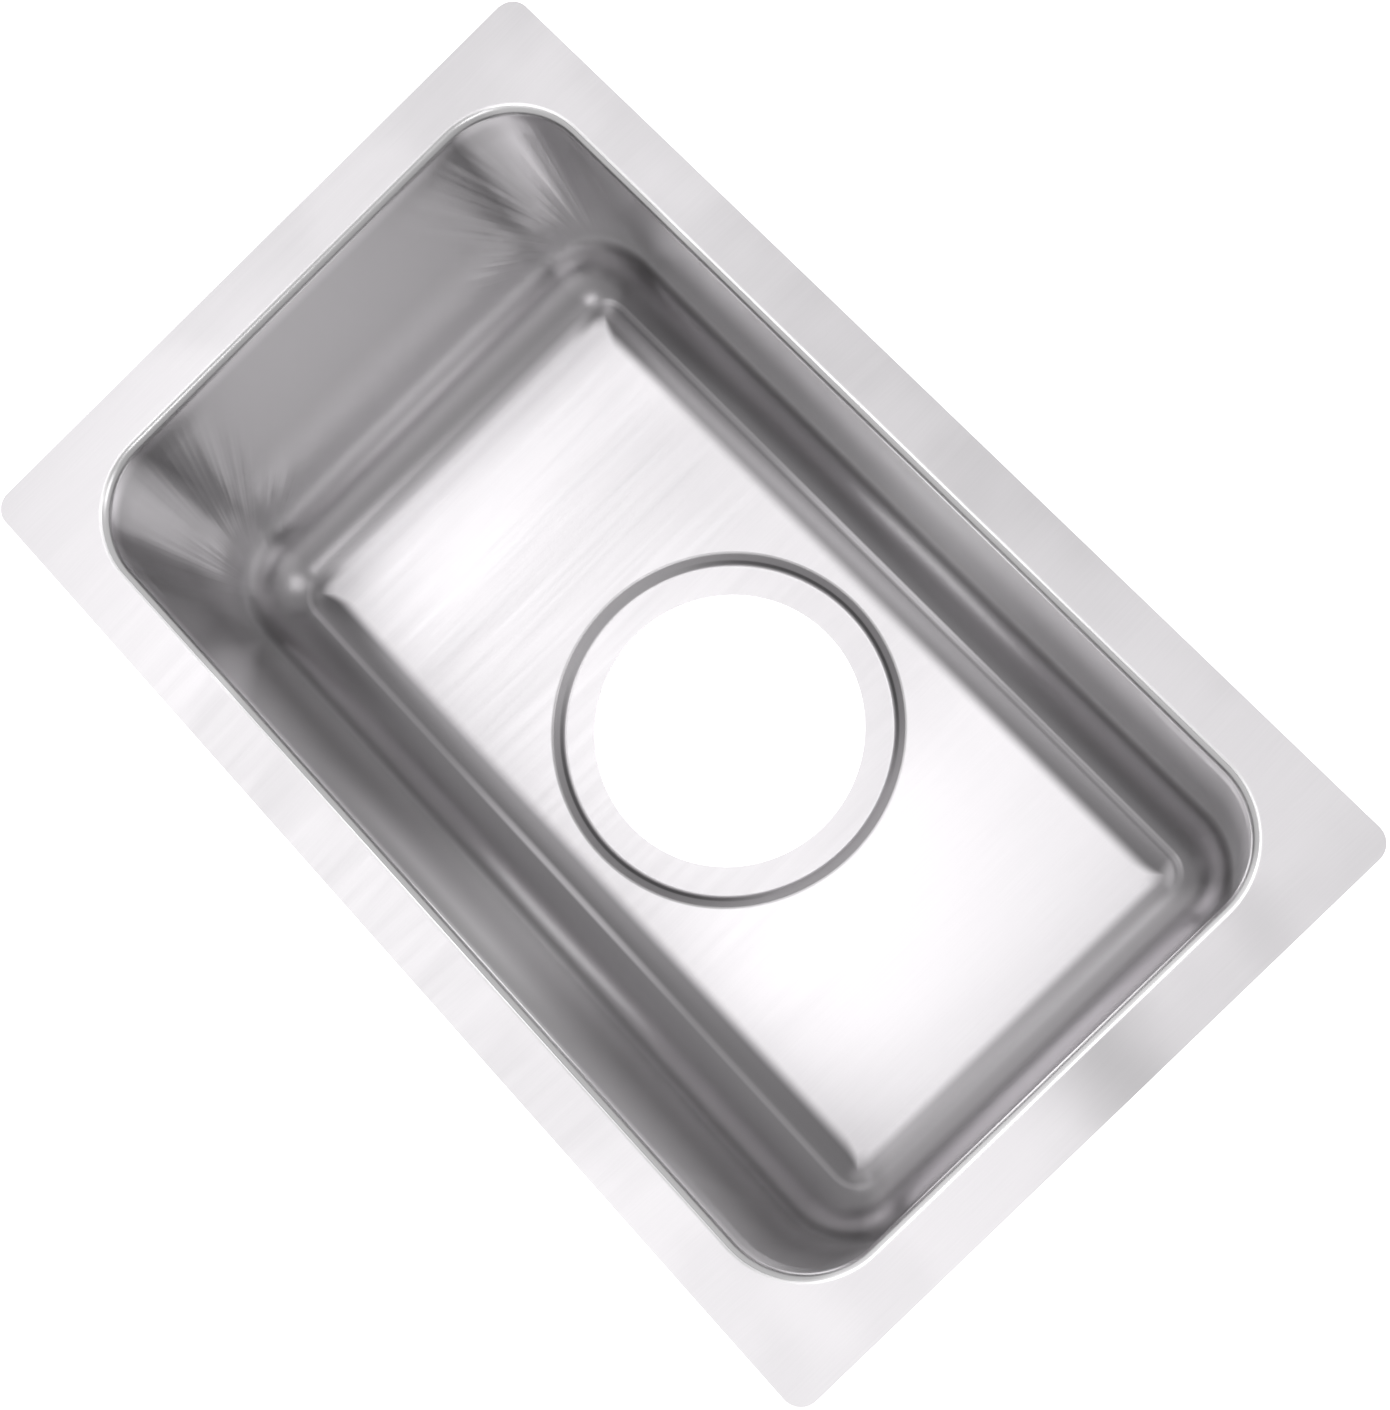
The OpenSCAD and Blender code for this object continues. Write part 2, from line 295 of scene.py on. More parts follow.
    @staticmethod
    def walls_down(height: float, bend: float, steps: int, lap: float) -> None:
        """Sinks the selected face as a tub's floor: upright walls, then a quarter bend, then a little flat.

        Args:
            height: Height of the upright walls.
            bend: Radius of the bend into the floor.
            steps: Rings in the bend.
            lap: Flat at either end of the walls and inside the bend, which keeps their shading apart.
        """
        for drop in (lap, height - 2 * lap, lap):
            Bench.push((0, 0, -drop))
        Bench.bend_in(bend, steps, from_flat=False)
        Bench.ring_in(lap)

    @staticmethod
    def turned(name: str, rings: list[Span], count: int, closed: bool = True) -> Piece:
        """Turns a shape on the Z axis by carrying a circle on from ring to ring.

        Args:
            name: The object's name.
            rings: Radius and height of each ring.
            count: Edges round each ring.
            closed: Whether the first and the last ring are filled.

        Returns:
            The turned object.
        """
        (radius, height), *rest = rings
        piece = Bench.start(bpy.ops.mesh.primitive_circle_add, name, vertices=count, radius=radius)
        bpy.ops.mesh.select_mode(type="EDGE")
        bpy.ops.transform.translate(value=(0, 0, height))
        for next_radius, next_height in rest:
            bpy.ops.mesh.extrude_edges_move()
            share = next_radius / radius
            Bench.shape((share, share, 1), (0, 0, next_height - height))
            radius, height = next_radius, next_height
        if closed:
            Bench.close(piece)
        Bench.clear()
        return piece

    @staticmethod
    def block(name: str, low: Vector, high: Vector) -> Piece:
        """Makes a block between two corners, with its object at the origin.

        Args:
            name: The object's name.
            low: Its lowest corner.
            high: Its highest corner.

        Returns:
            The block.
        """
        piece = Bench.start(bpy.ops.mesh.primitive_cube_add, name, size=1)
        Bench.shape(high - low, (low + high) / 2)
        Bench.clear()
        return piece

    @staticmethod
    def place_copy(model: Piece, name: str, place: Vector, signs: tuple[int, int]) -> Piece:
        """Copies a model with its mesh, mirrors it where a sign is negative and moves it to its place.

        Args:
            model: The piece as it is drawn at the origin.
            name: The copy's name.
            place: The copy's place.
            signs: The signs of its X and Y directions.

        Returns:
            The copy, with its mesh in place and its object at the origin.
        """
        piece = model.copy()
        piece.data = model.data.copy()
        piece.name = piece.data.name = name
        bpy.context.scene.collection.objects.link(piece)
        Bench.edit(piece)
        Bench.shape((*signs, 1), place)
        Bench.face_outwards(piece)
        return piece

    @staticmethod
    def join(first: Piece, *others: Piece) -> Piece:
        """Joins objects into the first one.

        Args:
            first: The object that takes in the others.
            others: The objects that it takes in.

        Returns:
            The first object.
        """
        Bench.take(first)
        for other in others:
            other.select_set(True)
        bpy.ops.object.join()
        return first

    @staticmethod
    def face_outwards(piece: Piece) -> None:
        """Merges a closed mesh's doubles and turns all its faces outwards.

        Args:
            piece: The object to work on.
        """
        Bench.edit(piece)
        bpy.ops.mesh.remove_doubles(threshold=Bench.MERGE)
        bpy.ops.mesh.normals_make_consistent(inside=False)
        Bench.clear()

    @staticmethod
    def face_show_side(sheet: Piece) -> None:
        """Turns an open tub's faces to its inside, so that a thickness grows outwards from them.

        Args:
            sheet: The tub.
        """
        Bench.face_outwards(sheet)
        if min(sheet.data.polygons, key=lambda face: face.center.z).normal.z < 0:
            Bench.edit(sheet)
            bpy.ops.mesh.flip_normals()
            Bench.clear()

    @staticmethod
    def close(piece: Piece) -> None:
        """Fills the open ends of the piece being edited and turns its faces outwards.

        Args:
            piece: The piece.
        """
        bpy.ops.mesh.select_all(action="SELECT")
        bpy.ops.mesh.fill_holes(sides=0)
        Bench.face_outwards(piece)

    @staticmethod
    def apply(piece: Piece, kind: str, **settings: object) -> None:
        """Adds a modifier with its settings and applies it.

        Args:
            piece: The object to work on.
            kind: The modifier's type.
            settings: The modifier's own properties.
        """
        Bench.take(piece)
        modifier = piece.modifiers.new(kind.lower(), kind)
        for key, value in settings.items():
            setattr(modifier, key, value)
        bpy.ops.object.modifier_apply(modifier=modifier.name)

    @staticmethod
    def thicken(sheet: Piece, thickness: float, offset: int = -1) -> None:
        """Gives a sheet its thickness, behind its faces or, with no offset, half on either side."""
        Bench.apply(sheet, "SOLIDIFY", thickness=thickness, offset=offset, use_even_offset=True)

    @staticmethod
    def cut(piece: Piece, tool: Piece, how: Cut = Cut.AWAY) -> None:
        """Cuts a piece with a closed tool, which is thrown away."""
        Bench.apply(piece, "BOOLEAN", operation=how.value, object=tool, solver="EXACT")
        bpy.data.objects.remove(tool)

    @staticmethod
    def soften(piece: Piece, width: float, angle: float = 40.0, steps: int = 2) -> None:
        """Rounds the edges of a piece that are sharper than an angle."""
        limit = math.radians(angle)
        Bench.apply(piece, "BEVEL", width=width, segments=steps, limit_method="ANGLE", angle_limit=limit)

    @staticmethod
    def smooth(piece: Piece, angle: float = 35.0) -> None:
        """Shades a piece smooth over edges flatter than an angle, with its flats kept truly flat.

        Args:
            piece: The piece.
            angle: The angle in degrees.
        """
        Bench.take(piece)
        bpy.ops.object.shade_smooth_by_angle(angle=math.radians(angle))
        Bench.apply(piece, "WEIGHTED_NORMAL", mode="FACE_AREA", weight=100, keep_sharp=True)

    @staticmethod
    def dress(piece: Piece, material: Material) -> None:
        """Gives a piece its one material."""
        piece.data.materials.clear()
        piece.data.materials.append(material)


class Signal:
    """A number that varies over a surface, as a node socket that takes part in Python expressions."""

    def __init__(self, board: "Board", socket: Socket) -> None:
        """Wraps one output socket of a board's node."""
        self.board = board
        self.socket = socket

    def maths(self, operation: str, *terms: "Signal | float") -> "Signal":
        """Returns a Math node's value, from the node's operation and its inputs in order."""
        node = self.board.add("ShaderNodeMath", {"operation": operation}, dict(enumerate(terms)))
        return Signal(self.board, node.outputs[0])

    def __add__(self, other: "Signal | float") -> "Signal":
        """Returns self + other."""
        return self.maths("ADD", self, other)

    __radd__ = __add__

    def __sub__(self, other: "Signal | float") -> "Signal":
        """Returns self - other."""
        return self.maths("SUBTRACT", self, other)

    def __rsub__(self, other: float) -> "Signal":
        """Returns other - self."""
        return self.maths("SUBTRACT", other, self)

    def __mul__(self, other: "Signal | float") -> "Signal":
        """Returns self * other."""
        return self.maths("MULTIPLY", self, other)

    __rmul__ = __mul__

    def __truediv__(self, other: "Signal | float") -> "Signal":
        """Returns self / other."""
        return self.maths("DIVIDE", self, other)

    def __rtruediv__(self, other: float) -> "Signal":
        """Returns other / self."""
        return self.maths("DIVIDE", other, self)

    def __pow__(self, other: float) -> "Signal":
        """Returns self ** other."""
        return self.maths("POWER", self, other)

    def __abs__(self) -> "Signal":
        """Returns abs(self)."""
        return self.maths("ABSOLUTE", self)

    def at_least(self, other: "Signal | float") -> "Signal":
        """Returns the larger of self and other."""
        return self.maths("MAXIMUM", self, other)

    def mix(self, first: "Signal | float", second: "Signal | float") -> "Signal":
        """Returns the first value where self is 0, the second where it is 1, and a mixture between."""
        return first + (second - first) * self

    def ramp(self, low: float, high: float) -> "Signal":
        """Rises smoothly from 0 at low to 1 at high, and falls where low is above high.

        Args:
            low: The value that gives 0.
            high: The value that gives 1.

        Returns:
            The ramp's value, between 0 and 1.
        """
        ends = (low, high, 0.0, 1.0) if low < high else (high, low, 1.0, 0.0)
        values = dict(zip(("From Min", "From Max", "To Min", "To Max"), ends))
        settings = {"interpolation_type": "SMOOTHSTEP"}
        node = self.board.add("ShaderNodeMapRange", settings, {"Value": self, **values})
        return Signal(self.board, node.outputs["Result"])


class Board:
    """A material's nodes while it is put together."""

    def __init__(self, name: str) -> None:
        """Starts a material with only its output node.

        Args:
            name: The material's name.
        """
        self.material = bpy.data.materials.new(name)
        self.material.use_nodes = True
        self.tree = self.material.node_tree
        self.tree.nodes.clear()
        self.output = self.tree.nodes.new("ShaderNodeOutputMaterial")

    def add(self, kind: str, settings: dict | None = None, values: dict | None = None) -> bpy.types.Node:
        """Adds one node, sets it up and feeds its sockets.

        Args:
            kind: The node's type.
            settings: Its properties, which are set before its sockets.
            values: Its inputs by name or number, each a number, a vector, a colour, a socket or a Signal.

        Returns:
            The new node.
        """
        node = self.tree.nodes.new(kind)
        for key, value in (settings or {}).items():
            setattr(node, key, value)
        for key, value in (values or {}).items():
            value = value.socket if isinstance(value, Signal) else value
            if isinstance(value, Socket):
                self.tree.links.new(value, node.inputs[key])
            else:
                node.inputs[key].default_value = value
        return node

    def split(self, vector: Socket) -> tuple[Signal, ...]:
        """Gives a vector's three numbers."""
        node = self.add("ShaderNodeSeparateXYZ", values={0: vector})
        return tuple(Signal(self, out) for out in node.outputs)

    def place(self) -> tuple[Socket, Signal, Signal, Signal]:
        """Gives the place on the piece, as a vector and as its x, y and z in metres."""
        vector = self.add("ShaderNodeTexCoord").outputs["Object"]
        return vector, *self.split(vector)

    def point(self, x: Signal | float, y: Signal | float, z: Signal | float = 0.0) -> Socket:
        """Puts three numbers together as a vector."""
        return self.add("ShaderNodeCombineXYZ", values={0: x, 1: y, 2: z}).outputs[0]

    def noise(self, vector: Socket, scale: float = 1.0, detail: float = 2.0, rough: float = 0.5) -> Signal:
        """Gives a noise around 0.5, from its cells per metre, its octaves and how strong they are."""
        values = {"Vector": vector, "Scale": scale, "Detail": detail, "Roughness": rough}
        return Signal(self, self.add("ShaderNodeTexNoise", values=values).outputs[0])

    def blend(self, share: Signal, first: Colour, second: Colour) -> Socket:
        """Mixes two colours by a share of the second.

        Args:
            share: The share.
            first: A plain colour or another blend.
            second: The same.

        Returns:
            The mixed colour.
        """
        plain = [(*colour, 1) if isinstance(colour, tuple) else colour for colour in (first, second)]
        values = {0: share, 6: plain[0], 7: plain[1]}
        return self.add("ShaderNodeMix", {"data_type": "RGBA"}, values).outputs[2]

    def either(self, share: Signal, first: Socket, second: Socket) -> Socket:
        """Mixes two directions of the surface by a share of the second."""
        values = {0: share, 4: first, 5: second}
        return self.add("ShaderNodeMix", {"data_type": "VECTOR"}, values).outputs[1]

    def bump(self, height: Signal) -> Socket:
        """Turns a height in metres into a tilt of the surface."""
        values = {"Strength": 1.0, "Distance": 1.0, "Height": height}
        return self.add("ShaderNodeBump", values=values).outputs[0]

    def finish(self, values: dict) -> Material:
        """Ends the material in one Principled shader and gives it.

        Args:
            values: The shader's inputs.

        Returns:
            The material.
        """
        shader = self.add("ShaderNodeBsdfPrincipled", values=values)
        self.tree.links.new(shader.outputs[0], self.output.inputs["Surface"])
        return self.material

    def open_behind(self) -> Material:
        """Makes a finished material clear where it is seen from behind.

        Returns:
            The material.
        """
        shown = self.output.inputs["Surface"].links[0].from_socket
        behind = self.add("ShaderNodeNewGeometry").outputs["Backfacing"]
        clear = self.add("ShaderNodeBsdfTransparent").outputs[0]
        either = self.add("ShaderNodeMixShader", values={0: behind, 1: shown, 2: clear})
        self.tree.links.new(either.outputs[0], self.output.inputs["Surface"])
        return self.material


def deliver(piece: Piece, name: str, material: Material, body: str, slot: str, node: str) -> Piece:
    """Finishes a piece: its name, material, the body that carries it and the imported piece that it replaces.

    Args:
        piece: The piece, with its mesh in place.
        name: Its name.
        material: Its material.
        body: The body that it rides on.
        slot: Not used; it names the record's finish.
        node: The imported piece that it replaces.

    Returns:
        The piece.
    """
    piece.name = piece.data.name = name
    Bench.dress(piece, material)
    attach(piece, body)
    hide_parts(node)
    return piece


@dataclass(frozen=True)
class Sides:
    """A painted tone of light and shade on the drawn steel, on the bowl's long sides, its near end (+X) and
    its far end (-X).
    """

    sides: float
    near: float
    far: float

    def tone(self, on_near: Signal, on_far: Signal) -> Signal:
        """Gives the tone by how much a place is on the near end and on the far end."""
        return self.sides + (self.near - self.sides) * on_near + (self.far - self.sides) * on_far


@dataclass
class Spot:
    """Where a point of the drawn sheet lies, as signals that the steel's painted tones of light and shade,
    and its relief, start from.

    A band is the range of places over which a signal rises from 0 to 1, or falls where the band runs down.
    A tilt is such a range of the normal's upward part, which is 0 on an upright wall and 1 on a level floor.
    """

    board: Board
    bowl: "Bowl"
    end_turn: Span = (-0.3, 0.3)
    end_band: Span = (2 * MM, 16 * MM)
    corner_band: Span = (-6 * MM, 6 * MM)
    far_band: Span = (10 * MM, -10 * MM)
    back_band: Span = (-60 * MM, 60 * MM)
    central_band: Span = (65 * MM, 10 * MM)
    high_band: Span = (40 * MM, 90 * MM)
    flat_tilt: Span = (0.975, 0.998)
    floor_band: Span = (22.5 * MM, 27.5 * MM)
    floor_shift: Span = (2.5 * MM, 4.5 * MM)
    recess_band: Span = (61 * MM, 59 * MM)
    ridge_tilts: tuple[Span, Span] = ((0.915, 0.935), (0.965, 0.945))

    def __post_init__(self) -> None:
        """Adds the nodes that the tones and the relief share."""
        bowl = self.bowl
        self.place, self.x, self.y, self.z = self.board.place()
        tilt_x, tilt_y, self.tilt = self.board.split(self.board.add("ShaderNodeTexCoord").outputs["Normal"])
        self.on_ends = (abs(tilt_x) - abs(tilt_y)).ramp(*self.end_turn)
        self.beyond_x = abs(self.x) - (bowl.length / 2 - bowl.flange_end - bowl.corner)
        self.beyond_y = abs(self.y) - (bowl.width / 2 - bowl.flange_side - bowl.corner)
        lead = self.beyond_x - self.beyond_y
        self.by_end = lead.ramp(*self.end_band)
        self.by_side = 1 - self.by_end
        self.far = self.x.ramp(*self.far_band)
        self.ends = (self.by_end * (1 - self.far), self.by_end * self.far)
        self.back = self.y.ramp(*self.back_band)
        self.central = abs(self.x).ramp(*self.central_band) * self.by_side
        self.high = self.z.ramp(*self.high_band)
        self.low = 1 - self.high
        self.from_drain = (self.x * self.x + self.y * self.y) ** 0.5
        from_walls = bowl.corner - self.beyond_x.at_least(self.beyond_y)
        edge = from_walls + lead.ramp(*self.corner_band) * self.far.mix(*self.floor_shift)
        level = self.tilt.ramp(*self.flat_tilt) * edge.ramp(*self.floor_band).at_least(self.high)
        self.flat = level.at_least(self.from_drain.ramp(*self.recess_band))
        rising, falling = self.ridge_tilts
        self.ridge = self.tilt.ramp(*rising) * self.tilt.ramp(*falling) * (1 - self.on_ends)


@dataclass(frozen=True)
class FloorTones:
    """The floor's painted light and shade: painted shade in a band across the middle, and painted shade in
    the drain's recess and on the waste's seat.

    The recess's pair is its painted tone along the sink and across it, where it also has a painted dark line
    of shade.
    """

    plain: float = 0.97
    # Painted shade in a band across the middle of the floor.
    shade: float = 0.17
    shade_bands: tuple[Span, Span] = ((70 * MM, 10 * MM), (-125 * MM, -65 * MM))
    # Painted shade on the waste's seat.
    seat: float = 0.80
    seat_band: Span = (54.5 * MM, 53.5 * MM)
    # Painted shade in the drain's recess, along the sink and across it.
    recess: Span = (0.62, 0.42)
    recess_bands: tuple[Span, Span] = ((53.9 * MM, 54.5 * MM), (58.4 * MM, 57.8 * MM))
    sideways_band: Span = (0.35, 0.95)
    # A painted dark line of shade on the recess's slope.
    line: float = 0.16
    line_radius: float = 55 * MM
    line_band: Span = (0.8 * MM, 0.2 * MM)

    def tone(self, at: Spot) -> Signal:
        """Gives the floor's tone.

        Args:
            at: Where the point lies.

        Returns:
            The tone.
        """
        near_edge, far_edge = (at.x.ramp(*band) for band in self.shade_bands)
        inner, outer = (at.from_drain.ramp(*band) for band in self.recess_bands)
        sideways = (abs(at.y) / at.from_drain).ramp(*self.sideways_band)
        # Paints shade: the band across the middle, the seat, the recess and its dark line.
        shaded = self.plain - self.shade * (near_edge * far_edge)
        tone = at.from_drain.ramp(*self.seat_band).mix(shaded, self.seat)
        tone = (inner * outer).mix(tone, sideways.mix(*self.recess))
        line = abs(at.from_drain - self.line_radius).ramp(*self.line_band) * sideways
        return line.mix(tone, self.line)


@dataclass(frozen=True)
class FlangeTones:
    """The flange's tones: soft clouds, painted shade at mid-length, painted light towards the front, and two
    patches of painted shade on the near end.

    Each near patch of painted shade is given as the place of its middle along Y, its reach and its depth.
    """

    plain: float = 0.70
    cloud: float = 0.65
    cloud_size: float = 52 * MM
    cloud_band: Span = (0.42, 0.62)
    # Painted shade at mid-length, lighter towards the ends.
    length_gain: Span = (0.9, 1.06)
    length_band: Span = (20 * MM, 110 * MM)
    # Painted light towards the front (-Y).
    front_gain: float = 0.07
    front_band: Span = (20 * MM, -20 * MM)
    # Two patches of painted shade on the near end.
    near_painted_shades: tuple[Triple, ...] = ((15 * MM, 24 * MM, 0.28), (67 * MM, 14 * MM, 0.10))
    near_band: Span = (150 * MM, 154 * MM)

    def tone(self, at: Spot) -> Signal:
        """Gives the flange's tone.

        Args:
            at: Where the point lies.

        Returns:
            The tone.
        """
        clouds = at.board.noise(at.place, 1 / self.cloud_size).ramp(*self.cloud_band)
        # Painted shade at mid-length and painted light towards the front.
        tone = clouds.mix(self.plain, self.cloud) * abs(at.x).ramp(*self.length_band).mix(*self.length_gain)
        tone = tone * (1 + self.front_gain * at.y.ramp(*self.front_band))
        # Patches of painted shade on the near end.
        for middle, reach, depth in self.near_painted_shades:
            tone = tone * (1 - depth * abs(at.y - middle).ramp(reach, 0.0) * at.x.ramp(*self.near_band))
        return tone


@dataclass(frozen=True)
class WallTones:
    """The walls' painted light and shade: a painted bright foot, painted shade above, the rim's painted
    highlight and a painted reflection like a feather by each far corner.

    The middle of each long wall has a painted highlight up to the middle band, and the rim's band is counted
    from the top.
    """

    # Painted light on the walls' foot, and painted shade on the walls above it.
    foot: float = 0.95
    upper: Sides = Sides(sides=0.42, near=0.68, far=0.43)
    upper_band: Span = (24 * MM, 72 * MM)
    # Painted light on the back wall.
    back_gain: float = 0.32
    # Painted highlight along the rim.
    rim: Sides = Sides(sides=0.72, near=1.0, far=0.55)
    rim_band: Span = (-9 * MM, -3 * MM)
    # Painted highlight in the middle of each long wall.
    middle_band: Span = (120 * MM, 95 * MM)
    bright_share: float = 0.75
    # A painted reflection like a feather by each far corner.
    feather_share: float = 0.9
    feather_band: Span = (22 * MM, 34 * MM)
    feather_least: float = 1 * MM
    feather_slope: float = 0.41
    feather_width: float = 0.13

    def tone(self, at: Spot) -> Signal:
        """Gives the walls' tone.

        Args:
            at: Where the point lies.

        Returns:
            The tone.
        """
        # Paints light and shade: the foot, the back wall, the rim's highlight, the walls' middles and the
        # feathers.
        upper = self.upper.tone(*at.ends) + at.back * at.by_side * self.back_gain
        upper = (at.z - at.bowl.top).ramp(*self.rim_band).mix(upper, self.rim.tone(*at.ends))
        walls = at.z.ramp(*self.upper_band).mix(self.foot, upper)
        middle = at.central * at.z.ramp(*self.middle_band)
        fan = -1 * at.beyond_x / (at.z - self.feather_band[0]).at_least(self.feather_least)
        feather = abs(fan - self.feather_slope).ramp(self.feather_width, 0.0) * at.far * at.by_side
        feather = self.feather_share * feather * at.z.ramp(*self.feather_band)
        return (self.bright_share * middle.at_least(feather)).mix(walls, self.foot)


@dataclass(frozen=True)
class BendTones:
    """The painted light and shade of the bend at the walls' foot: its last band is by the wall and its first
    by the floor.
    """

    # Painted light and shade in three bands round the bend.
    last: Sides = Sides(sides=0.46, near=0.92, far=0.66)
    last_tilt: Span = (0.1, 0.45)
    middle: Sides = Sides(sides=0.28, near=0.5, far=0.28)
    middle_tilt: Span = (0.62, 0.92)
    first: Sides = Sides(sides=0.20, near=0.24, far=0.62)
    first_tilt: Span = (0.93, 0.985)
    ridge_cut: float = 0.5
    # Painted highlight along the ridge in the middle of each long wall.
    ridge_gain: float = 0.25

    def tone(self, at: Spot, walls: Signal) -> Signal:
        """Gives the bend's tone.

        Args:
            at: Where the point lies.
            walls: The walls' tone, from which it leads on.

        Returns:
            The tone.
        """
        # Paints the bend's three bands of light and shade, and a highlight along the ridge.
        tone = (at.tilt.ramp(*self.last_tilt) * at.low).mix(walls, self.last.tone(*at.ends))
        between = at.tilt.ramp(*self.middle_tilt) * at.low * (1 - self.ridge_cut * at.ridge)
        tone = between.mix(tone, self.middle.tone(*at.ends)) + at.ridge * at.central * self.ridge_gain
        return (at.tilt.ramp(*self.first_tilt) * at.low).mix(tone, self.first.tone(*at.ends))


@dataclass(frozen=True)
class Folds:
    """The folds and fine creases that drawing leaves in each corner, fanned out from the floor's corner.

    The seeds keep the patterns of the four corners, and of folds and creases, apart.
    """

    depth: float = 1.0 * MM
    number: float = 9.0
    rise: float = 40 * MM
    reach: Span = (60 * MM, 21 * MM)
    crease_depth: float = 0.35 * MM
    crease_number: float = 16.0
    crease_rise: float = 6 * MM
    crease_shift: float = 8 * MM
    crease_reach: Span = (40 * MM, 16 * MM)
    foot: Span = (12 * MM, 45 * MM)
    rim: Span = (-3 * MM, -18 * MM)
    seeds: Triple = (3.7, 8.1, 5.0)

    def height(self, at: Spot) -> Signal:
        """Gives the folds' height in metres.

        Args:
            at: Where the point lies.

        Returns:
            The height.
        """
        bowl, board = at.bowl, at.board
        round_x, round_y = at.beyond_x.at_least(0.0), at.beyond_y.at_least(0.0)
        arc = (round_y.maths("ARCTAN2", round_y, round_x) - math.pi / 4) * bowl.corner
        along = arc + (-1 * at.beyond_x).at_least(0.0) - (-1 * at.beyond_y).at_least(0.0)
        seed_x, seed_y, seed = self.seeds
        corner = at.x.maths("SIGN", at.x) * seed_x + at.y.maths("SIGN", at.y) * seed_y
        fan = along / (at.z - bowl.floor + self.rise) * self.number
        folds = board.noise(board.point(fan, corner), detail=1.0) * abs(along).ramp(*self.reach)
        fine = along / (at.z + self.crease_rise) * self.crease_number
        close = abs(along + self.crease_shift).ramp(*self.crease_reach)
        creases = board.noise(board.point(fine, corner + seed)) * close
        height = folds * self.depth + creases * self.crease_depth
        return height * (at.z - bowl.top).ramp(*self.rim) * at.z.ramp(*self.foot)


@dataclass(frozen=True)
class SatinSteel:
    """Stainless sheet, brushed across the sink before it was drawn, with painted light and shade in its
    tones: brighter on the flats, where it is also smoother.

    The grain follows the sheet up the walls, drawing has made them rougher, their tones are painted darker as
    shade, and folds fan out from the corners.
    A grain's pair is its width and length, and a roughness's pair is that of the walls and of the flats.
    A green is the green light in a tone as a share of its red and its blue.
    """

    name: str = "bowl_steel"
    # The tones paint light, shade and reflections into the steel's colour, region by region.
    floor: FloorTones = FloorTones()
    flange: FlangeTones = FlangeTones()
    walls: WallTones = WallTones()
    bends: BendTones = BendTones()
    folds: Folds = Folds()
    wall_green: float = 0.99
    bend_green: float = 0.965
    flat_green: float = 0.975
    green_tilt: Span = (0.3, 0.8)
    grain: Span = (0.45 * MM, 22 * MM)
    streak: Span = (2.7 * MM, 66 * MM)
    grain_depth: float = 0.003 * MM
    brush_marks: float = 0.07
    wave: float = 55 * MM
    wave_depth: float = 0.12 * MM
    ridge_depth: float = 0.06 * MM
    fall: float = 0.05
    fall_band: Span = (80 * MM, 130 * MM)
    roughness: Span = (0.28, 0.42)
    roughness_spread: Span = (0.02, 0.1)
    matt: float = 0.5
    matt_band: Span = (85 * MM, 24 * MM)
    matt_tilt: Span = (0.45, 0.1)
    matt_least: Span = (0.25, 0.55)
    matt_far: float = 0.8

    def brushed(self, at: Spot, size: Span, detail: float, rough: float) -> Signal:
        """Gives a noise that is drawn out along the brush, and that the sheet carries up the walls.

        Args:
            at: Where the point lies.
            size: Its width and length.
            detail: Its octaves.
            rough: How strong the finer octaves are.

        Returns:
            The noise, around 0.5.
        """
        across = abs(at.x) + at.z * at.on_ends
        along = at.y + at.z * (1 - at.on_ends)
        width, length = size
        return at.board.noise(at.board.point(across / width, along / length), 1.0, detail, rough)

    def relief(self, at: Spot, grain: Signal) -> Socket:
        """Gives the tilt of the surface: grain, waves and folds, and a floor that falls away at its far end.

        Args:
            at: Where the point lies.
            grain: The brush's grain.

        Returns:
            The tilted direction.
        """
        board = at.board
        waves = board.noise(at.place, 1 / self.wave, detail=0.0)
        level = grain * at.flat * self.grain_depth + waves * self.wave_depth
        folded = board.bump(level + self.folds.height(at) + at.ridge * self.ridge_depth)
        first, last = self.fall_band
        fall = at.x.ramp(-first, -last) ** 2 * ((last - first) * self.fall)
        return board.either(at.flat * at.low, folded, board.bump(level + fall))

    def dulled(self, at: Spot) -> Signal:
        """Says how much of its metal gloss the foot of the walls has lost, most where the lamps shine on it.

        Args:
            at: Where the point lies.

        Returns:
            The share, from 0 to 1.
        """
        lit = at.central.at_least(at.back).at_least(at.far.mix(*self.matt_least)) * at.by_side
        lit = lit + self.matt_far * at.ends[1]
        return at.z.ramp(*self.matt_band) * at.tilt.ramp(*self.matt_tilt) * lit * self.matt

    def material(self, bowl: "Bowl") -> Material:
        """Builds the finish.

        Args:
            bowl: The bowl that wears it.

        Returns:
            The material.
        """
        board = Board(self.name)
        at = Spot(board, bowl)
        grain = self.brushed(at, self.grain, detail=3.0, rough=0.6)
        streaks = self.brushed(at, self.streak, detail=2.0, rough=0.5)
        # Painted light, shade and reflections: the floor's, flange's, walls' and bend's tones.
        flats = at.high.mix(self.floor.tone(at), self.flange.tone(at))
        flats = flats * (1 + (grain - 0.5) * self.brush_marks)
        tone = at.flat.mix(self.bends.tone(at, self.walls.tone(at)), flats)
        green = (at.tilt.ramp(*self.green_tilt) * at.low).mix(self.wall_green, self.bend_green)
        tint = board.point(tone, tone * at.flat.mix(green, self.flat_green), tone)
        gloss = at.flat.mix(*self.roughness) + (streaks - 0.5) * at.flat.mix(*self.roughness_spread)
        metal = 1 - self.dulled(at)
        relief = self.relief(at, grain)
        return board.finish({"Base Color": tint, "Metallic": metal, "Roughness": gloss, "Normal": relief})


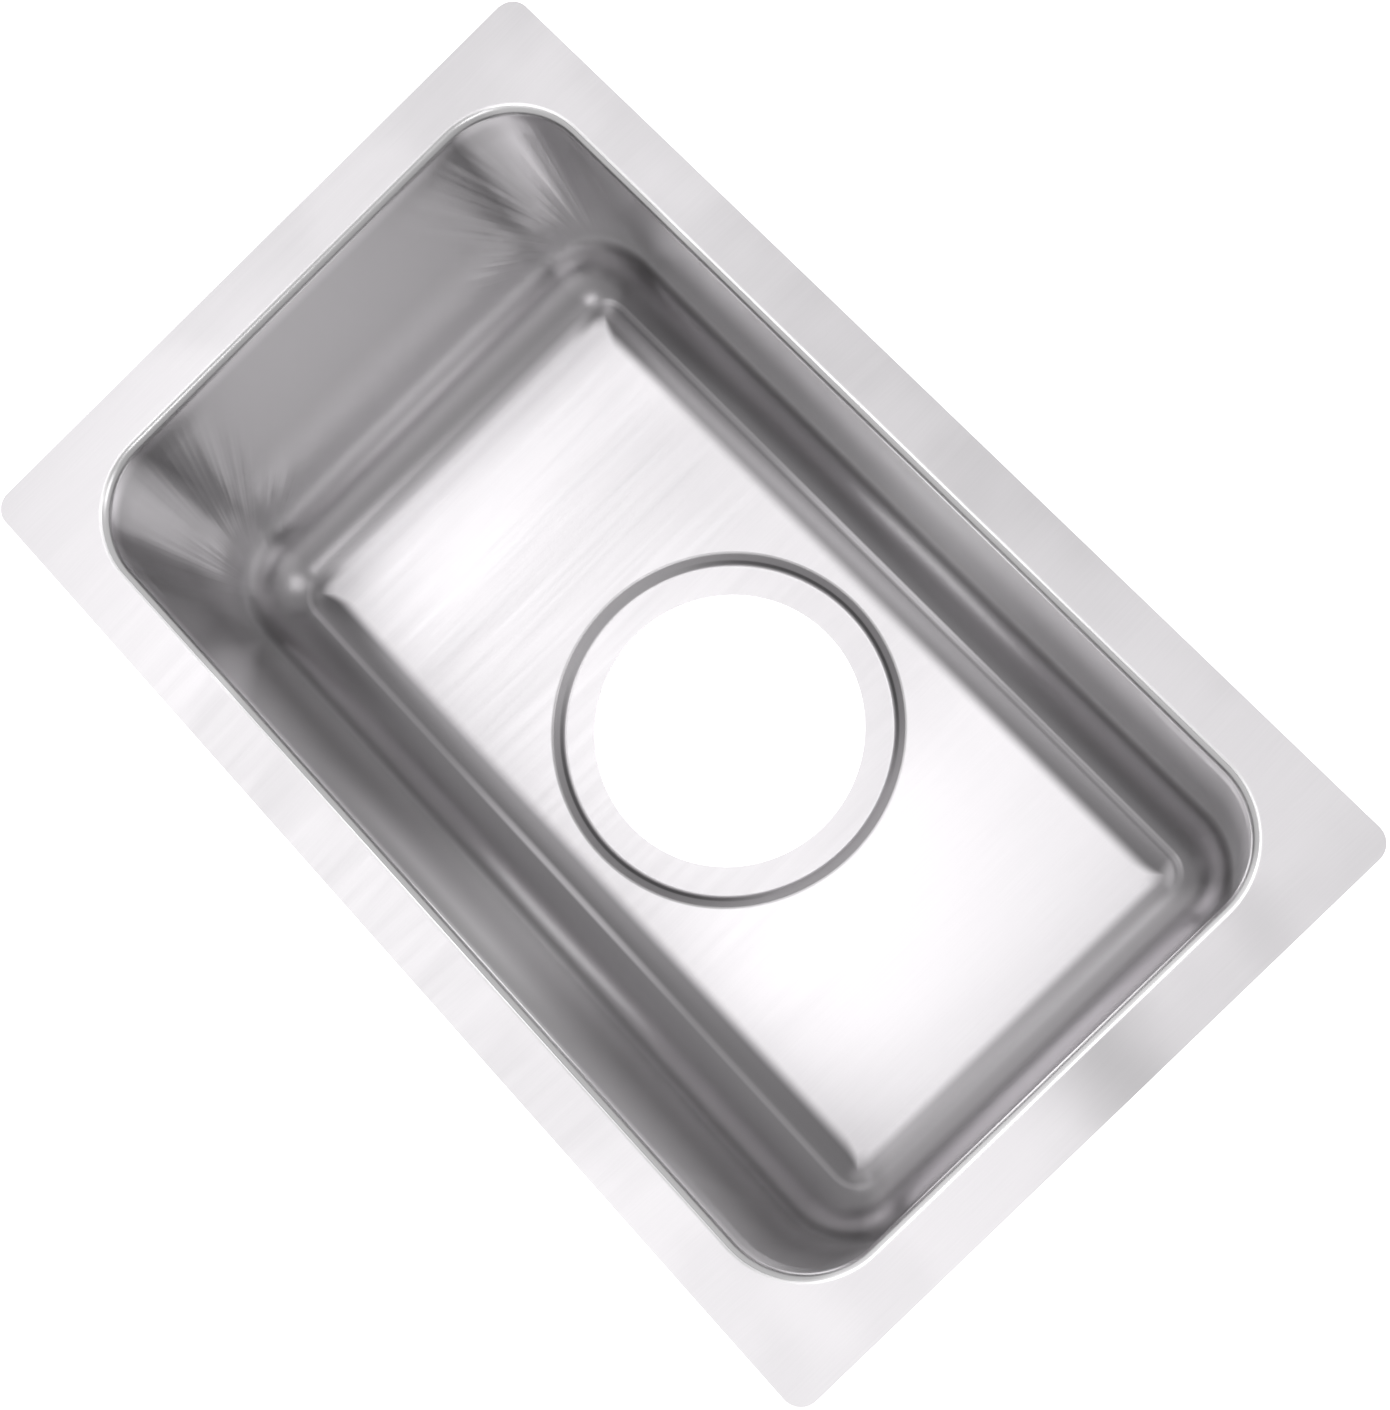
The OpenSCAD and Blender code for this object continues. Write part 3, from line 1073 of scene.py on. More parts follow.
@dataclass(frozen=True)
class SprayCoat:
    """Grey coat sprayed on thick, with the pebbled skin and the speckle that a spray gun leaves."""

    name: str = "undercoat"
    colour: Triple = (0.30, 0.31, 0.32)
    speckle: Triple = (0.40, 0.41, 0.42)
    speckle_band: Span = (0.42, 0.66)
    grit_share: float = 0.7
    roughness: Span = (0.62, 0.87)
    pebble: float = 1.7 * MM
    pebble_depth: float = 0.16 * MM
    grit: float = 0.35 * MM
    grit_depth: float = 0.03 * MM
    cloud: float = 45 * MM

    def material(self) -> Material:
        """Builds the finish.

        Returns:
            The material.
        """
        board = Board(self.name)
        place, *_ = board.place()
        pebbles = board.noise(place, 1 / self.pebble, detail=1.0)
        grit = board.noise(place, 1 / self.grit, detail=1.0)
        clouds = board.noise(place, 1 / self.cloud, detail=3.0)
        speckles = (grit * self.grit_share + clouds * (1 - self.grit_share)).ramp(*self.speckle_band)
        tint = board.blend(speckles, self.colour, self.speckle)
        relief = board.bump(pebbles * self.pebble_depth + grit * self.grit_depth)
        return board.finish({"Base Color": tint, "Roughness": pebbles.mix(*self.roughness), "Normal": relief})


@dataclass(frozen=True)
class SealFoam:
    """Dark closed-cell foam with a skin of fine round cells, painted darker in their pits as shade."""

    name: str = "seal_foam"
    wall: Triple = (0.06, 0.06, 0.065)
    # Painted shade in the cells' pits.
    pit: Triple = (0.02, 0.02, 0.022)
    roughness: Span = (0.8, 0.95)
    cell: float = 0.45 * MM
    cell_band: Span = (0.15, 0.7)
    cell_depth: float = 0.12 * MM

    def material(self) -> Material:
        """Builds the finish.

        Returns:
            The material.
        """
        board = Board(self.name)
        place, *_ = board.place()
        values = {"Vector": place, "Scale": 1 / self.cell}
        cells = board.add("ShaderNodeTexVoronoi", {"feature": "SMOOTH_F1"}, values)
        depth = Signal(board, cells.outputs["Distance"]).ramp(*self.cell_band)
        # Paints shade into the cells' pits.
        tint = board.blend(depth, self.pit, self.wall)
        relief = board.bump(depth * self.cell_depth)
        return board.finish({"Base Color": tint, "Roughness": depth.mix(*self.roughness), "Normal": relief})


@dataclass(frozen=True)
class BracketSteel:
    """Stainless strip in mill finish, with two spot welds on each web and rings of heat colour round them."""

    name: str = "bracket_steel"
    colour: Triple = (0.66, 0.66, 0.67)
    straw: Triple = (0.50, 0.40, 0.26)
    straw_band: Span = (2.3, 1.7)
    blue: Triple = (0.30, 0.34, 0.46)
    blue_band: Span = (1.6, 1.2)
    roughness: float = 0.3
    roughness_spread: float = 0.16
    mottle: float = 3 * MM
    rolled: Span = (0.25 * MM, 12 * MM)
    rolled_depth: float = 0.002 * MM
    weld_rise: float = 0.45
    weld_spread: float = 4.6 * MM
    weld_radius: float = 2.1 * MM
    weld_dent: float = 0.14 * MM
    weld_blur: float = 0.4

    def material(self) -> Material:
        """Builds the finish.

        Returns:
            The material.
        """
        board = Board(self.name)
        place, x, _, z = board.place()
        low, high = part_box("bracket_right_back")
        beside = abs(abs(abs(x) - (low.x + high.x) / 2) - self.weld_spread)
        over = z - (low.z + (high.z - low.z) * self.weld_rise)
        from_weld = (beside * beside + over * over) ** 0.5
        rolled = board.noise(board.point(x / self.rolled[0], z / self.rolled[1]), detail=3.0)
        mottle = board.noise(place, 1 / self.mottle)
        dent = from_weld.ramp(self.weld_radius / 2, self.weld_radius)
        relief = board.bump(rolled * self.rolled_depth + dent * self.weld_dent)
        ring = from_weld / self.weld_radius + mottle * self.weld_blur
        warm = board.blend(ring.ramp(*self.straw_band), self.colour, self.straw)
        heated = board.blend(ring.ramp(*self.blue_band), warm, self.blue)
        gloss = self.roughness + (mottle - 0.5) * self.roughness_spread
        return board.finish({"Base Color": heated, "Metallic": 1.0, "Roughness": gloss, "Normal": relief})


@dataclass(frozen=True)
class Clouded:
    """A fine grain with cloudy patches: rubber with a bloom of chalk, bright zinc plate, black phosphate."""

    name: str
    colour: Triple
    patch: Triple
    roughness: Span
    metallic: float = 1.0
    patch_size: float = 4 * MM
    patch_band: Span = (0.38, 0.66)
    grain: float = 0.18 * MM
    grain_octaves: float = 1.0
    grain_depth: float = 0.004 * MM

    def material(self) -> Material:
        """Builds the finish.

        Returns:
            The material.
        """
        board = Board(self.name)
        place, *_ = board.place()
        patches = board.noise(place, 1 / self.patch_size, detail=4.0, rough=0.6)
        values = {
            "Base Color": board.blend(patches.ramp(*self.patch_band), self.colour, self.patch),
            "Metallic": self.metallic,
            "Roughness": patches.mix(*self.roughness),
            "Normal": board.bump(board.noise(place, 1 / self.grain, self.grain_octaves) * self.grain_depth),
        }
        return board.finish(values)


@dataclass
class Bowl:
    """The bowl and its flange, drawn from one sheet: flange, rolled rim, walls, floor and drain seat."""

    flange_end: float = 18.5 * MM
    flange_side: float = 17.3 * MM
    flange_corner: float = 6 * MM
    sheet: float = 1.2 * MM
    corner: float = 25 * MM
    floor_bend: float = 24 * MM
    rim_bend: float = 3 * MM
    recess: float = 57.5 * MM
    recess_depth: float = 3 * MM
    recess_run: float = 3.7 * MM
    recess_bend: float = 1.2 * MM
    hole: float = 44.45 * MM
    flat_lap: float = 0.5 * MM
    edge_round: float = 0.25 * MM
    edge_angle: float = 60.0
    corner_steps: int = 32
    bend_steps: int = 20
    rim_steps: int = 10
    recess_steps: int = 5
    finish: SatinSteel = SatinSteel()

    def __post_init__(self) -> None:
        """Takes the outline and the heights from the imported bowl."""
        low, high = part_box("bowl")
        self.length, self.width, _ = high - low
        self.top = high.z
        self.floor = low.z + self.sheet + self.recess_depth

    def opening(self, grow: float) -> Span:
        """Gives the length and width of the walls' inside, made wider by a distance all round."""
        return self.length - 2 * self.flange_end + 2 * grow, self.width - 2 * self.flange_side + 2 * grow

    def rim_and_walls(self) -> Piece:
        """Sinks the flat inside of the flange down to the floor, ring by ring, and opens the floor.

        Returns:
            The sheet inside the flange.
        """
        size = self.opening(self.rim_bend)
        corner = self.corner + self.rim_bend
        sheet = Bench.rounded_plate("bowl_sheet", size, corner, self.top, self.corner_steps)
        Bench.bend_in(self.rim_bend, self.rim_steps, from_flat=True)
        wall = self.top - self.rim_bend - self.floor - self.floor_bend
        Bench.walls_down(wall, self.floor_bend, self.bend_steps, self.flat_lap)
        Bench.open_up()
        return sheet

    def flange_edge(self) -> Piece:
        """Lays the outline that the flange is cut to.

        Returns:
            The outline.
        """
        size = (self.length, self.width)
        edge = Bench.rounded_plate("flange_edge", size, self.flange_corner, self.top, self.corner_steps)
        Bench.open_up()
        return edge

    def drain_profile(self) -> list[Span]:
        """Draws the drain's recess in section, from the floor in to the hole.

        Returns:
            The radius and the drop of each ring.
        """
        slope = math.atan2(self.recess_depth, self.recess_run)
        bend = self.recess_bend
        reach = bend * math.tan(slope / 2)
        arc = [slope * n / self.recess_steps for n in range(self.recess_steps + 1)]
        top = self.recess + reach
        foot = self.recess - self.recess_run - reach
        depth = self.recess_depth
        upper = [(top - bend * math.sin(a), bend * (1 - math.cos(a))) for a in arc]
        lower = [(foot + bend * math.sin(a), depth - bend * (1 - math.cos(a))) for a in reversed(arc)]
        lap = self.flat_lap
        return [(top + lap, 0), *upper, *lower, (foot - lap, depth), (self.hole, depth)]

    def round_edge(self, name: str, rings: list[Span]) -> Piece:
        """Turns rings round the drain, their edges opposite the floor's, so that a bridge joins them.

        Args:
            name: The object's name.
            rings: Radius and height of each ring.

        Returns:
            The rings.
        """
        count = 4 * (self.corner_steps + 1)
        circle = Bench.turned(name, rings, count, closed=False)
        Bench.edit(circle)
        bpy.ops.transform.rotate(value=math.pi / count, orient_axis="Z", center_override=ORIGIN)
        Bench.clear()
        return circle

    def build(self) -> Piece:
        """Bridges the rims of flange, bowl and drain, gives the sheet its thickness and rounds its cut edges.

        Returns:
            The finished bowl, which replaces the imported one.
        """
        rings = [(radius, self.floor - drop) for radius, drop in self.drain_profile()]
        bowl = Bench.join(self.rim_and_walls(), self.flange_edge(), self.round_edge("drain_rings", rings))
        level = self.top - self.flat_lap
        hole = self.hole + self.flat_lap
        Bench.edit(bowl)
        Bench.bridge(lambda place: place.z > level)
        Bench.bridge(lambda place: place.z < level and place.xy.length > hole)
        Bench.face_show_side(bowl)
        Bench.thicken(bowl, self.sheet)
        Bench.soften(bowl, self.edge_round, self.edge_angle)
        Bench.smooth(bowl)
        return deliver(bowl, "drawn_bowl", self.finish.material(self), SINK_BODY, "bowl_steel", "bowl")


class Facing(Enum):
    """How a plate drawn face up is turned, about X, Y and Z, and which axes its sizes then lie along."""

    FRONT = ((QUARTER, 0, 0), (0, 2, 1))
    BACK = ((-QUARTER, 0, 0), (0, 2, 1))
    LEFT = ((0, -QUARTER, 0), (2, 1, 0))
    RIGHT = ((0, QUARTER, 0), (2, 1, 0))
    DOWN = ((math.pi, 0, 0), (0, 1, 2))


@dataclass
class SoundPads:
    """The six rubber pads that deaden the bowl: moulded plates with a border round a field of grooves."""

    FACINGS: ClassVar[dict[str, Facing]] = {
        "side_pad_front": Facing.FRONT,
        "side_pad_back": Facing.BACK,
        "end_pad_left": Facing.LEFT,
        "end_pad_right": Facing.RIGHT,
        "floor_pad_left": Facing.DOWN,
        "floor_pad_right": Facing.DOWN,
    }
    CORNER: ClassVar[float] = 6 * MM
    CORNER_STEPS: ClassVar[int] = 10

    border: float = 5 * MM
    groove_pitch: float = 8 * MM
    groove_width: float = 1.6 * MM
    groove_depth: float = 0.6 * MM
    edge_round: float = 0.35 * MM
    upright: float = 0.9
    central: float = 1 * MM
    finish: Clouded = Clouded(
        name="pad_rubber",
        colour=(0.035, 0.035, 0.038),
        patch=(0.085, 0.085, 0.09),
        roughness=(0.55, 0.85),
        metallic=0.0,
        patch_size=14 * MM,
        patch_band=(0.4, 0.75),
        grain=0.5 * MM,
        grain_octaves=2.0,
        grain_depth=0.025 * MM,
    )

    @staticmethod
    def sizes(node: str) -> Vector:
        """Gives a pad's length, width and thickness as it lies face up before it is turned."""
        low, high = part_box(node)
        return Vector([(high - low)[axis] for axis in SoundPads.FACINGS[node].value[1]])

    @staticmethod
    def stick(piece: Piece, node: str) -> None:
        """Turns a plate that lies face up at the origin and moves it to a pad's place.

        Args:
            piece: The plate.
            node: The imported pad.
        """
        low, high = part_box(node)
        piece.rotation_euler = SoundPads.FACINGS[node].value[0]
        piece.location = (low + high) / 2
        Bench.take(piece)
        bpy.ops.object.transform_apply()

    @staticmethod
    def mask(node: str, gap: float, reach: float) -> Piece:
        """Makes a pad's mask for the coat.

        Args:
            node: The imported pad.
            gap: How much wider the mask is all round.
            reach: How far it stands out from both faces.

        Returns:
            The mask.
        """
        length, width, thickness = SoundPads.sizes(node)
        size = (length + 2 * gap, width + 2 * gap)
        depth = thickness + 2 * reach
        corner = SoundPads.CORNER + gap
        piece = Bench.rounded_plate(f"mask_{node}", size, corner, depth / 2, SoundPads.CORNER_STEPS)
        Bench.push((0, 0, -depth))
        Bench.face_outwards(piece)
        SoundPads.stick(piece, node)
        return piece

    def groove(self, length: float, width: float) -> None:
        """Cuts the field inside the border into strips along its longer side, and sinks every other one.

        A strip is found by its upright normal and by its middle, which is central along the pad.

        Args:
            length: The pad's size along X as it lies.
            width: The pad's size along Y.
        """
        across = 0 if length < width else 1
        cut_side = Vector((1 - across, across, 0))
        field_half = min(length, width) / 2 - self.border
        count = int(2 * field_half / self.groove_pitch)
        middles = [(n - (count - 1) / 2) * self.groove_pitch for n in range(count)]

        def on_field(face: bmesh.types.BMFace) -> bool:
            """Says whether a face is one of the field's strips."""
            beside, over = (abs(face.calc_center_median()[axis]) for axis in (1 - across, across))
            return face.normal.z > self.upright and beside < self.central and over < field_half

        def is_groove(face: bmesh.types.BMFace) -> bool:
            """Says whether a strip is one that is sunk."""
            place = face.calc_center_median()[across]
            return on_field(face) and any(abs(place - middle) < self.groove_width / 4 for middle in middles)

        for middle in middles:
            for edge in (middle - self.groove_width / 2, middle + self.groove_width / 2):
                Bench.pick(Element.FACE, on_field)
                bpy.ops.mesh.bisect(plane_co=cut_side * edge, plane_no=cut_side)
        Bench.pick(Element.FACE, is_groove)
        Bench.push((0, 0, -self.groove_depth))

    def pad(self, node: str, material: Material) -> Piece:
        """Moulds one pad.

        Args:
            node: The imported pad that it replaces.
            material: The rubber.

        Returns:
            The pad.
        """
        length, width, thickness = self.sizes(node)
        piece = Bench.rounded_plate(node, (length, width), self.CORNER, -thickness / 2, self.CORNER_STEPS)
        Bench.push((0, 0, thickness))
        Bench.ring_in(self.border)
        self.groove(length, width)
        Bench.face_outwards(piece)
        Bench.soften(piece, self.edge_round)
        Bench.smooth(piece)
        self.stick(piece, node)
        return deliver(piece, f"moulded_{node}", material, SINK_BODY, "pad_rubber", node)

    def build(self) -> list[Piece]:
        """Moulds all six pads."""
        rubber = self.finish.material()
        return [self.pad(node, rubber) for node in self.FACINGS]


@dataclass
class Undercoat:
    """The coat sprayed on the outside of the bowl, masked round the brackets, the pads and the drain."""

    bowl: Bowl
    bond: float = 0.2 * MM
    thickness: float = 0.8 * MM
    drain_margin: float = 3 * MM
    bracket_margin: float = 3 * MM
    nut_height: float = 3.2 * MM
    pad_gap: float = 0.4 * MM
    mask_reach: float = 4 * MM
    edge_round: float = 0.2 * MM
    edge_angle: float = 60.0
    finish: SprayCoat = SprayCoat()

    def skin(self) -> Piece:
        """Sinks the coat's inner face round the bowl, ring by ring, and joins it to the edge round the drain.

        Returns:
            The coat's inner face.
        """
        bowl = self.bowl
        off = bowl.sheet + self.bond
        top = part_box("undercoat")[1].z
        floor = bowl.floor - off
        bend = bowl.floor_bend + off
        tub = Bench.rounded_plate("coat_skin", bowl.opening(off), bowl.corner + off, top, bowl.corner_steps)
        Bench.walls_down(top - floor - bend, bend, bowl.bend_steps, bowl.flat_lap)
        bpy.ops.mesh.delete(type="ONLY_FACE")
        Bench.pick(Element.FACE, lambda face: face.calc_center_median().z > top - bowl.flat_lap / 4)
        Bench.open_up()
        edge = bowl.recess + bowl.sheet + self.drain_margin
        skin = Bench.join(tub, bowl.round_edge("coat_edge", [(edge, floor)]))
        Bench.edit(skin)
        Bench.bridge(lambda place: place.z < floor + bend / 2)
        Bench.face_show_side(skin)
        return skin

    def masks(self) -> Iterator[Piece]:
        """Makes the masks: a block over each bracket and its nut, and a rounded plate over each pad.

        Returns:
            The masks, one after another.
        """
        for corner in CORNERS:
            low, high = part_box(f"bracket_{corner}")
            grow = Vector((self.bracket_margin, self.mask_reach, self.bracket_margin))
            yield Bench.block(f"mask_{corner}", low - grow, high + grow + Vector((0, 0, self.nut_height)))
        for node in SoundPads.FACINGS:
            yield SoundPads.mask(node, self.pad_gap, self.mask_reach)

    def build(self) -> Piece:
        """Sprays the coat and takes the masks off.

        Returns:
            The coat.
        """
        coat = self.skin()
        Bench.thicken(coat, self.thickness)
        for mask in self.masks():
            Bench.cut(coat, mask)
        Bench.soften(coat, self.edge_round, self.edge_angle)
        Bench.smooth(coat)
        return deliver(coat, "sprayed_coat", self.finish.material(), SINK_BODY, "undercoat", "undercoat")


@dataclass
class RimSeal:
    """The closed strip of foam under the flange's edge."""

    width: float = 4.8 * MM
    corner: float = 5 * MM
    corner_steps: int = 10
    edge_round: float = 0.7 * MM
    edge_steps: int = 4
    finish: SealFoam = SealFoam()

    def build(self) -> Piece:
        """Lays the strip as a flat ring, gives it its height and rounds its edges.

        Returns:
            The seal.
        """
        low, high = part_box("rim_seal")
        size = high - low
        seal = Bench.rounded_plate("seal", (size.x, size.y), self.corner, low.z, self.corner_steps)
        Bench.ring_in(self.width)
        bpy.ops.mesh.delete(type="FACE")
        bpy.ops.mesh.select_all(action="SELECT")
        Bench.push((0, 0, size.z))
        Bench.face_outwards(seal)
        Bench.soften(seal, self.edge_round, steps=self.edge_steps)
        Bench.smooth(seal)
        return deliver(seal, "foam_seal", self.finish.material(), SINK_BODY, "seal_foam", "rim_seal")


@dataclass
class Clamps:
    """The four worktop clamps, each drawn round its screw's axis, with the wall at -Y and the arm along -X.

    The nut's cone, the thread's point and the clip's lobes are given as shares of what they are cut on.
    """

    bore: float = 2.08 * MM
    strip: float = 1.5 * MM
    strip_bend: float = 1 * MM
    tab_corner: float = 3 * MM
    tab_steps: int = 8
    bracket_round: float = 0.22 * MM
    countersink: float = 0.45 * MM
    nut_cone: tuple[Span, ...] = ((1.36, -0.22), (1.02, 0.02))
    nut_round: float = 0.12 * MM
    nut_angle: float = 30.0
    washer_round: float = 0.18 * MM
    arm_strip: float = 2 * MM
    claw_bend: float = 1.5 * MM
    tooth: float = 1.4 * MM
    teeth: int = 3
    hub_steps: int = 12
    arm_round: float = 0.25 * MM
    head_height: float = 2.6 * MM
    head_chamfer: float = 0.5 * MM
    head_seat: float = 0.12 * MM
    slot: Span = (1.2 * MM, 1.1 * MM)
    shank: float = 2 * MM
    groove: float = 1.6 * MM
    seat: float = 0.05 * MM
    neck: float = 0.5 * MM
    neck_taper: float = 0.3 * MM
    screw_round: float = 0.07 * MM
    screw_angles: Span = (50.0, 30.0)
    thread_core: float = 1.5 * MM
    thread_root: float = 1.58 * MM
    thread_crest: float = 1.98 * MM
    thread_lap: float = 0.1 * MM
    pitch: float = 0.7 * MM
    crest_share: float = 1 / 8
    lead_in: float = 1.49
    spare_turns: int = 4
    thread_steps: int = 24
    thread_merge: Span = (0.01 * MM, 0.005 * MM)
    core_tip: float = 0.2 * MM
    point_wide: float = 1.1
    point_narrow: float = 0.7
    lobe: float = 0.62
    lobe_reach: float = 1.12
    lobe_angle: float = 118.0
    mouth: float = 1.6
    clip_round: float = 0.08 * MM
    turn_steps: int = 32
    bend_steps: int = 6
    bracket_finish: BracketSteel = BracketSteel()
    zinc: Clouded = Clouded("zinc_plate", (0.72, 0.74, 0.78), (0.62, 0.62, 0.60), (0.11, 0.41))
    phosphate: Clouded = Clouded("spring_steel", (0.10, 0.10, 0.105), (0.16, 0.155, 0.15), (0.35, 0.65))

    def __post_init__(self) -> None:
        """Takes the axis of the clamp that the others are mirrored from."""
        low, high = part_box("weld_nut_right_back")
        self.axis = Vector(((low.x + high.x) / 2, (low.y + high.y) / 2, 0))

    def room(self, node: str) -> tuple[Vector, Vector]:
        """Gives the box of one of the clamp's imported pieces, measured from the screw's axis."""
        low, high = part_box(f"{node}_right_back")
        return low - self.axis, high - self.axis

    def drill(self, piece: Piece, low: float, high: float, sink: float = 0.0) -> None:
        """Drills the bore on the axis through a piece.

        Args:
            piece: The piece.
            low: Height of its underside.
            high: Height of its top.
            sink: Depth of the countersinks at both ends.
        """
        rings = [(self.bore, low - self.strip), (self.bore, high + self.strip)]
        if sink:
            wide, over = self.bore + sink, sink / 4
            bore = [(self.bore, low + sink), (self.bore, high - sink)]
            rings = [(wide, low - over), *bore, (wide, high + over)]
        Bench.cut(piece, Bench.turned("drill", rings, self.turn_steps))

    def bracket(self) -> Piece:
        """Folds the bracket: its tab with two round corners, the bend and the web.

        Returns:
            The bracket.
        """
        low, high = self.room("bracket")
        turn = self.strip_bend + self.strip
        fold = low.y + turn
        foot = high.z - turn
        middle = ((low.x + high.x) / 2, (fold + high.y) / 2, high.z - self.strip / 2)
        piece = Bench.plate("bracket", (high.x - low.x, high.y - fold), middle)
        Bench.pick_verts(lambda place: place.y > fold + turn)
        Bench.round_corners(self.tab_corner, self.tab_steps)
        Bench.pick_rims(lambda place: place.y < fold + NEAR)
        Bench.fold(Along.X, (0, fold, foot), self.bend_steps)
        Bench.draw_out((0, 0, low.z - foot))
        Bench.clear()
        Bench.thicken(piece, self.strip, offset=0)
        self.drill(piece, high.z - self.strip, high.z)
        Bench.soften(piece, self.bracket_round)
        Bench.smooth(piece)
        return piece

    def arm(self) -> Piece:
        """Bends the arm: its hub with one round corner, the strip, the bend and the toothed claw.

        Returns:
            The arm.
        """
        low, high = self.room("swing_arm")
        turn = self.claw_bend + self.arm_strip
        fold = low.x + turn
        foot = low.z + turn
        middle = ((fold + high.x) / 2, (low.y + high.y) / 2, low.z + self.arm_strip / 2)
        piece = Bench.plate("arm", (high.x - fold, high.y - low.y), middle)
        Bench.pick_verts(lambda place: place.x > 0 and place.y < 0)
        Bench.round_corners(high.x, self.hub_steps)
        Bench.pick_rims(lambda place: place.x < fold + NEAR)
        Bench.fold(Along.Y, (fold, 0, foot), self.bend_steps)
        Bench.draw_out((0, 0, high.z - foot))
        bpy.ops.mesh.subdivide(number_cuts=2 * self.teeth - 1)
        step = (high.y - low.y) / (2 * self.teeth)
        notches = [(n - (self.teeth - 2) / 2) * 2 * step for n in range(self.teeth - 1)]

        def at_notch(place: Vector) -> bool:
            """Says whether a place is on the claw's edge, at the foot of a notch."""
            return place.z > high.z - NEAR and any(abs(place.y - notch) < step / 4 for notch in notches)

        Bench.pick_verts(at_notch)
        bpy.ops.transform.translate(value=(0, 0, -self.tooth))
        Bench.clear()
        Bench.thicken(piece, self.arm_strip, offset=0)
        self.drill(piece, low.z, low.z + self.arm_strip)
        Bench.soften(piece, self.arm_round)
        Bench.smooth(piece)
        return piece

    def weld_nut(self) -> Piece:
        """Cuts the square nut, with its corners turned down and its bore countersunk.

        Returns:
            The nut.
        """
        low, high = self.room("weld_nut")
        half = (high.x - low.x) / 2
        nut = Bench.block("weld_nut", low, high)
        cone = [(half * radius, high.z + half * rise) for radius, rise in self.nut_cone]
        rings = [(cone[0][0], low.z - half), *cone]
        Bench.cut(nut, Bench.turned("turned_down", rings, 2 * self.turn_steps), Cut.KEEP)
        self.drill(nut, low.z, high.z, self.countersink)
        Bench.soften(nut, self.nut_round, self.nut_angle)
        Bench.smooth(nut)
        return nut

    def washer(self) -> Piece:
        """Stamps the square guide washer.

        Returns:
            The washer.
        """
        low, high = self.room("guide_washer")
        washer = Bench.block("washer", low, high)
        self.drill(washer, low.z, high.z)
        Bench.soften(washer, self.washer_round)
        Bench.smooth(washer)
        return washer

    def thread(self, low: float, high: float) -> Piece:
        """Winds the thread: one tooth is carried up the screw turn by turn, and cut to the chamfered end.

        Args:
            low: Height at which it starts.
            high: Height of the screw's tip.

        Returns:
            The thread, closed at both ends.
        """
        depth = self.thread_crest - self.thread_root
        middle = (self.thread_crest + self.thread_root) / 2
        start = low - self.lead_in * self.pitch
        thread = Bench.start(bpy.ops.mesh.primitive_plane_add, "thread", size=1, rotation=(QUARTER, 0, 0))
        Bench.shape((depth, 1, self.pitch), (middle, 0, start))
        Bench.pick_verts(lambda place: place.x > middle)
        bpy.ops.transform.resize(value=(1, 1, self.crest_share), center_override=(0, 0, start))
        bpy.ops.mesh.select_all(action="SELECT")
        bpy.ops.mesh.delete(type="ONLY_FACE")
        Bench.pick_rims(lambda place: place.x < middle - depth / 4)
        bpy.ops.mesh.delete(type="EDGE")
        Bench.clear()
        merge, tidy = self.thread_merge
        winding = {
            "axis": "Z",
            "angle": 2 * math.pi,
            "screw_offset": self.pitch,
            "iterations": math.ceil((high - low) / self.pitch) + self.spare_turns,
            "steps": self.thread_steps,
            "render_steps": self.thread_steps,
            "use_merge_vertices": True,
            "merge_threshold": merge,
        }
        Bench.apply(thread, "SCREW", **winding)
        Bench.edit(thread)
        bpy.ops.mesh.remove_doubles(threshold=tidy)
        for height, way in ((low, 1), (high, -1)):
            bpy.ops.mesh.select_all(action="SELECT")
            bpy.ops.mesh.bisect(plane_co=(0, 0, height), plane_no=(0, 0, way), clear_inner=True)
        Bench.close(thread)
        wide, narrow = self.shank * self.point_wide, self.shank * self.point_narrow
        point = [(wide, low - self.pitch), (wide, high - self.pitch), (narrow, high)]
        Bench.cut(thread, Bench.turned("point", point, self.turn_steps), Cut.KEEP)
        return thread

    def screw(self) -> Piece:
        """Turns the slotted cheese-head screw with its clip groove, and winds its thread.

        Returns:
            The screw.
        """
        low, high = self.room("clamp_screw")
        clip_low, clip_high = self.room("retaining_clip")
        head = high.x
        seat = low.z + self.head_height
        groove_low = clip_low.z - self.seat
        groove_high = clip_high.z + self.seat
        neck = groove_high + self.neck
        rings = [
            (head - self.head_chamfer, low.z),
            (head, low.z + self.head_chamfer),
            (head, seat - self.head_seat),
            (head - self.head_seat, seat),
            (self.shank, seat),
            (self.shank, groove_low),
            (self.groove, groove_low),
            (self.groove, groove_high),
            (self.shank, groove_high),
            (self.shank, neck),
            (self.thread_core, neck + self.neck_taper),
            (self.thread_core, high.z - self.core_tip),
            (self.thread_core - self.core_tip, high.z),
        ]
        body = Bench.turned("screw", rings, self.turn_steps)
        slot_width, slot_depth = self.slot
        half = Vector((3 * head, slot_width, 2 * slot_depth)) / 2
        middle = Vector((0, 0, low.z))
        Bench.cut(body, Bench.block("slot", middle - half, middle + half))
        round_angle, shade_angle = self.screw_angles
        Bench.soften(body, self.screw_round, round_angle)
        screw = Bench.join(body, self.thread(neck - self.thread_lap, high.z))
        Bench.smooth(screw, shade_angle)
        return screw

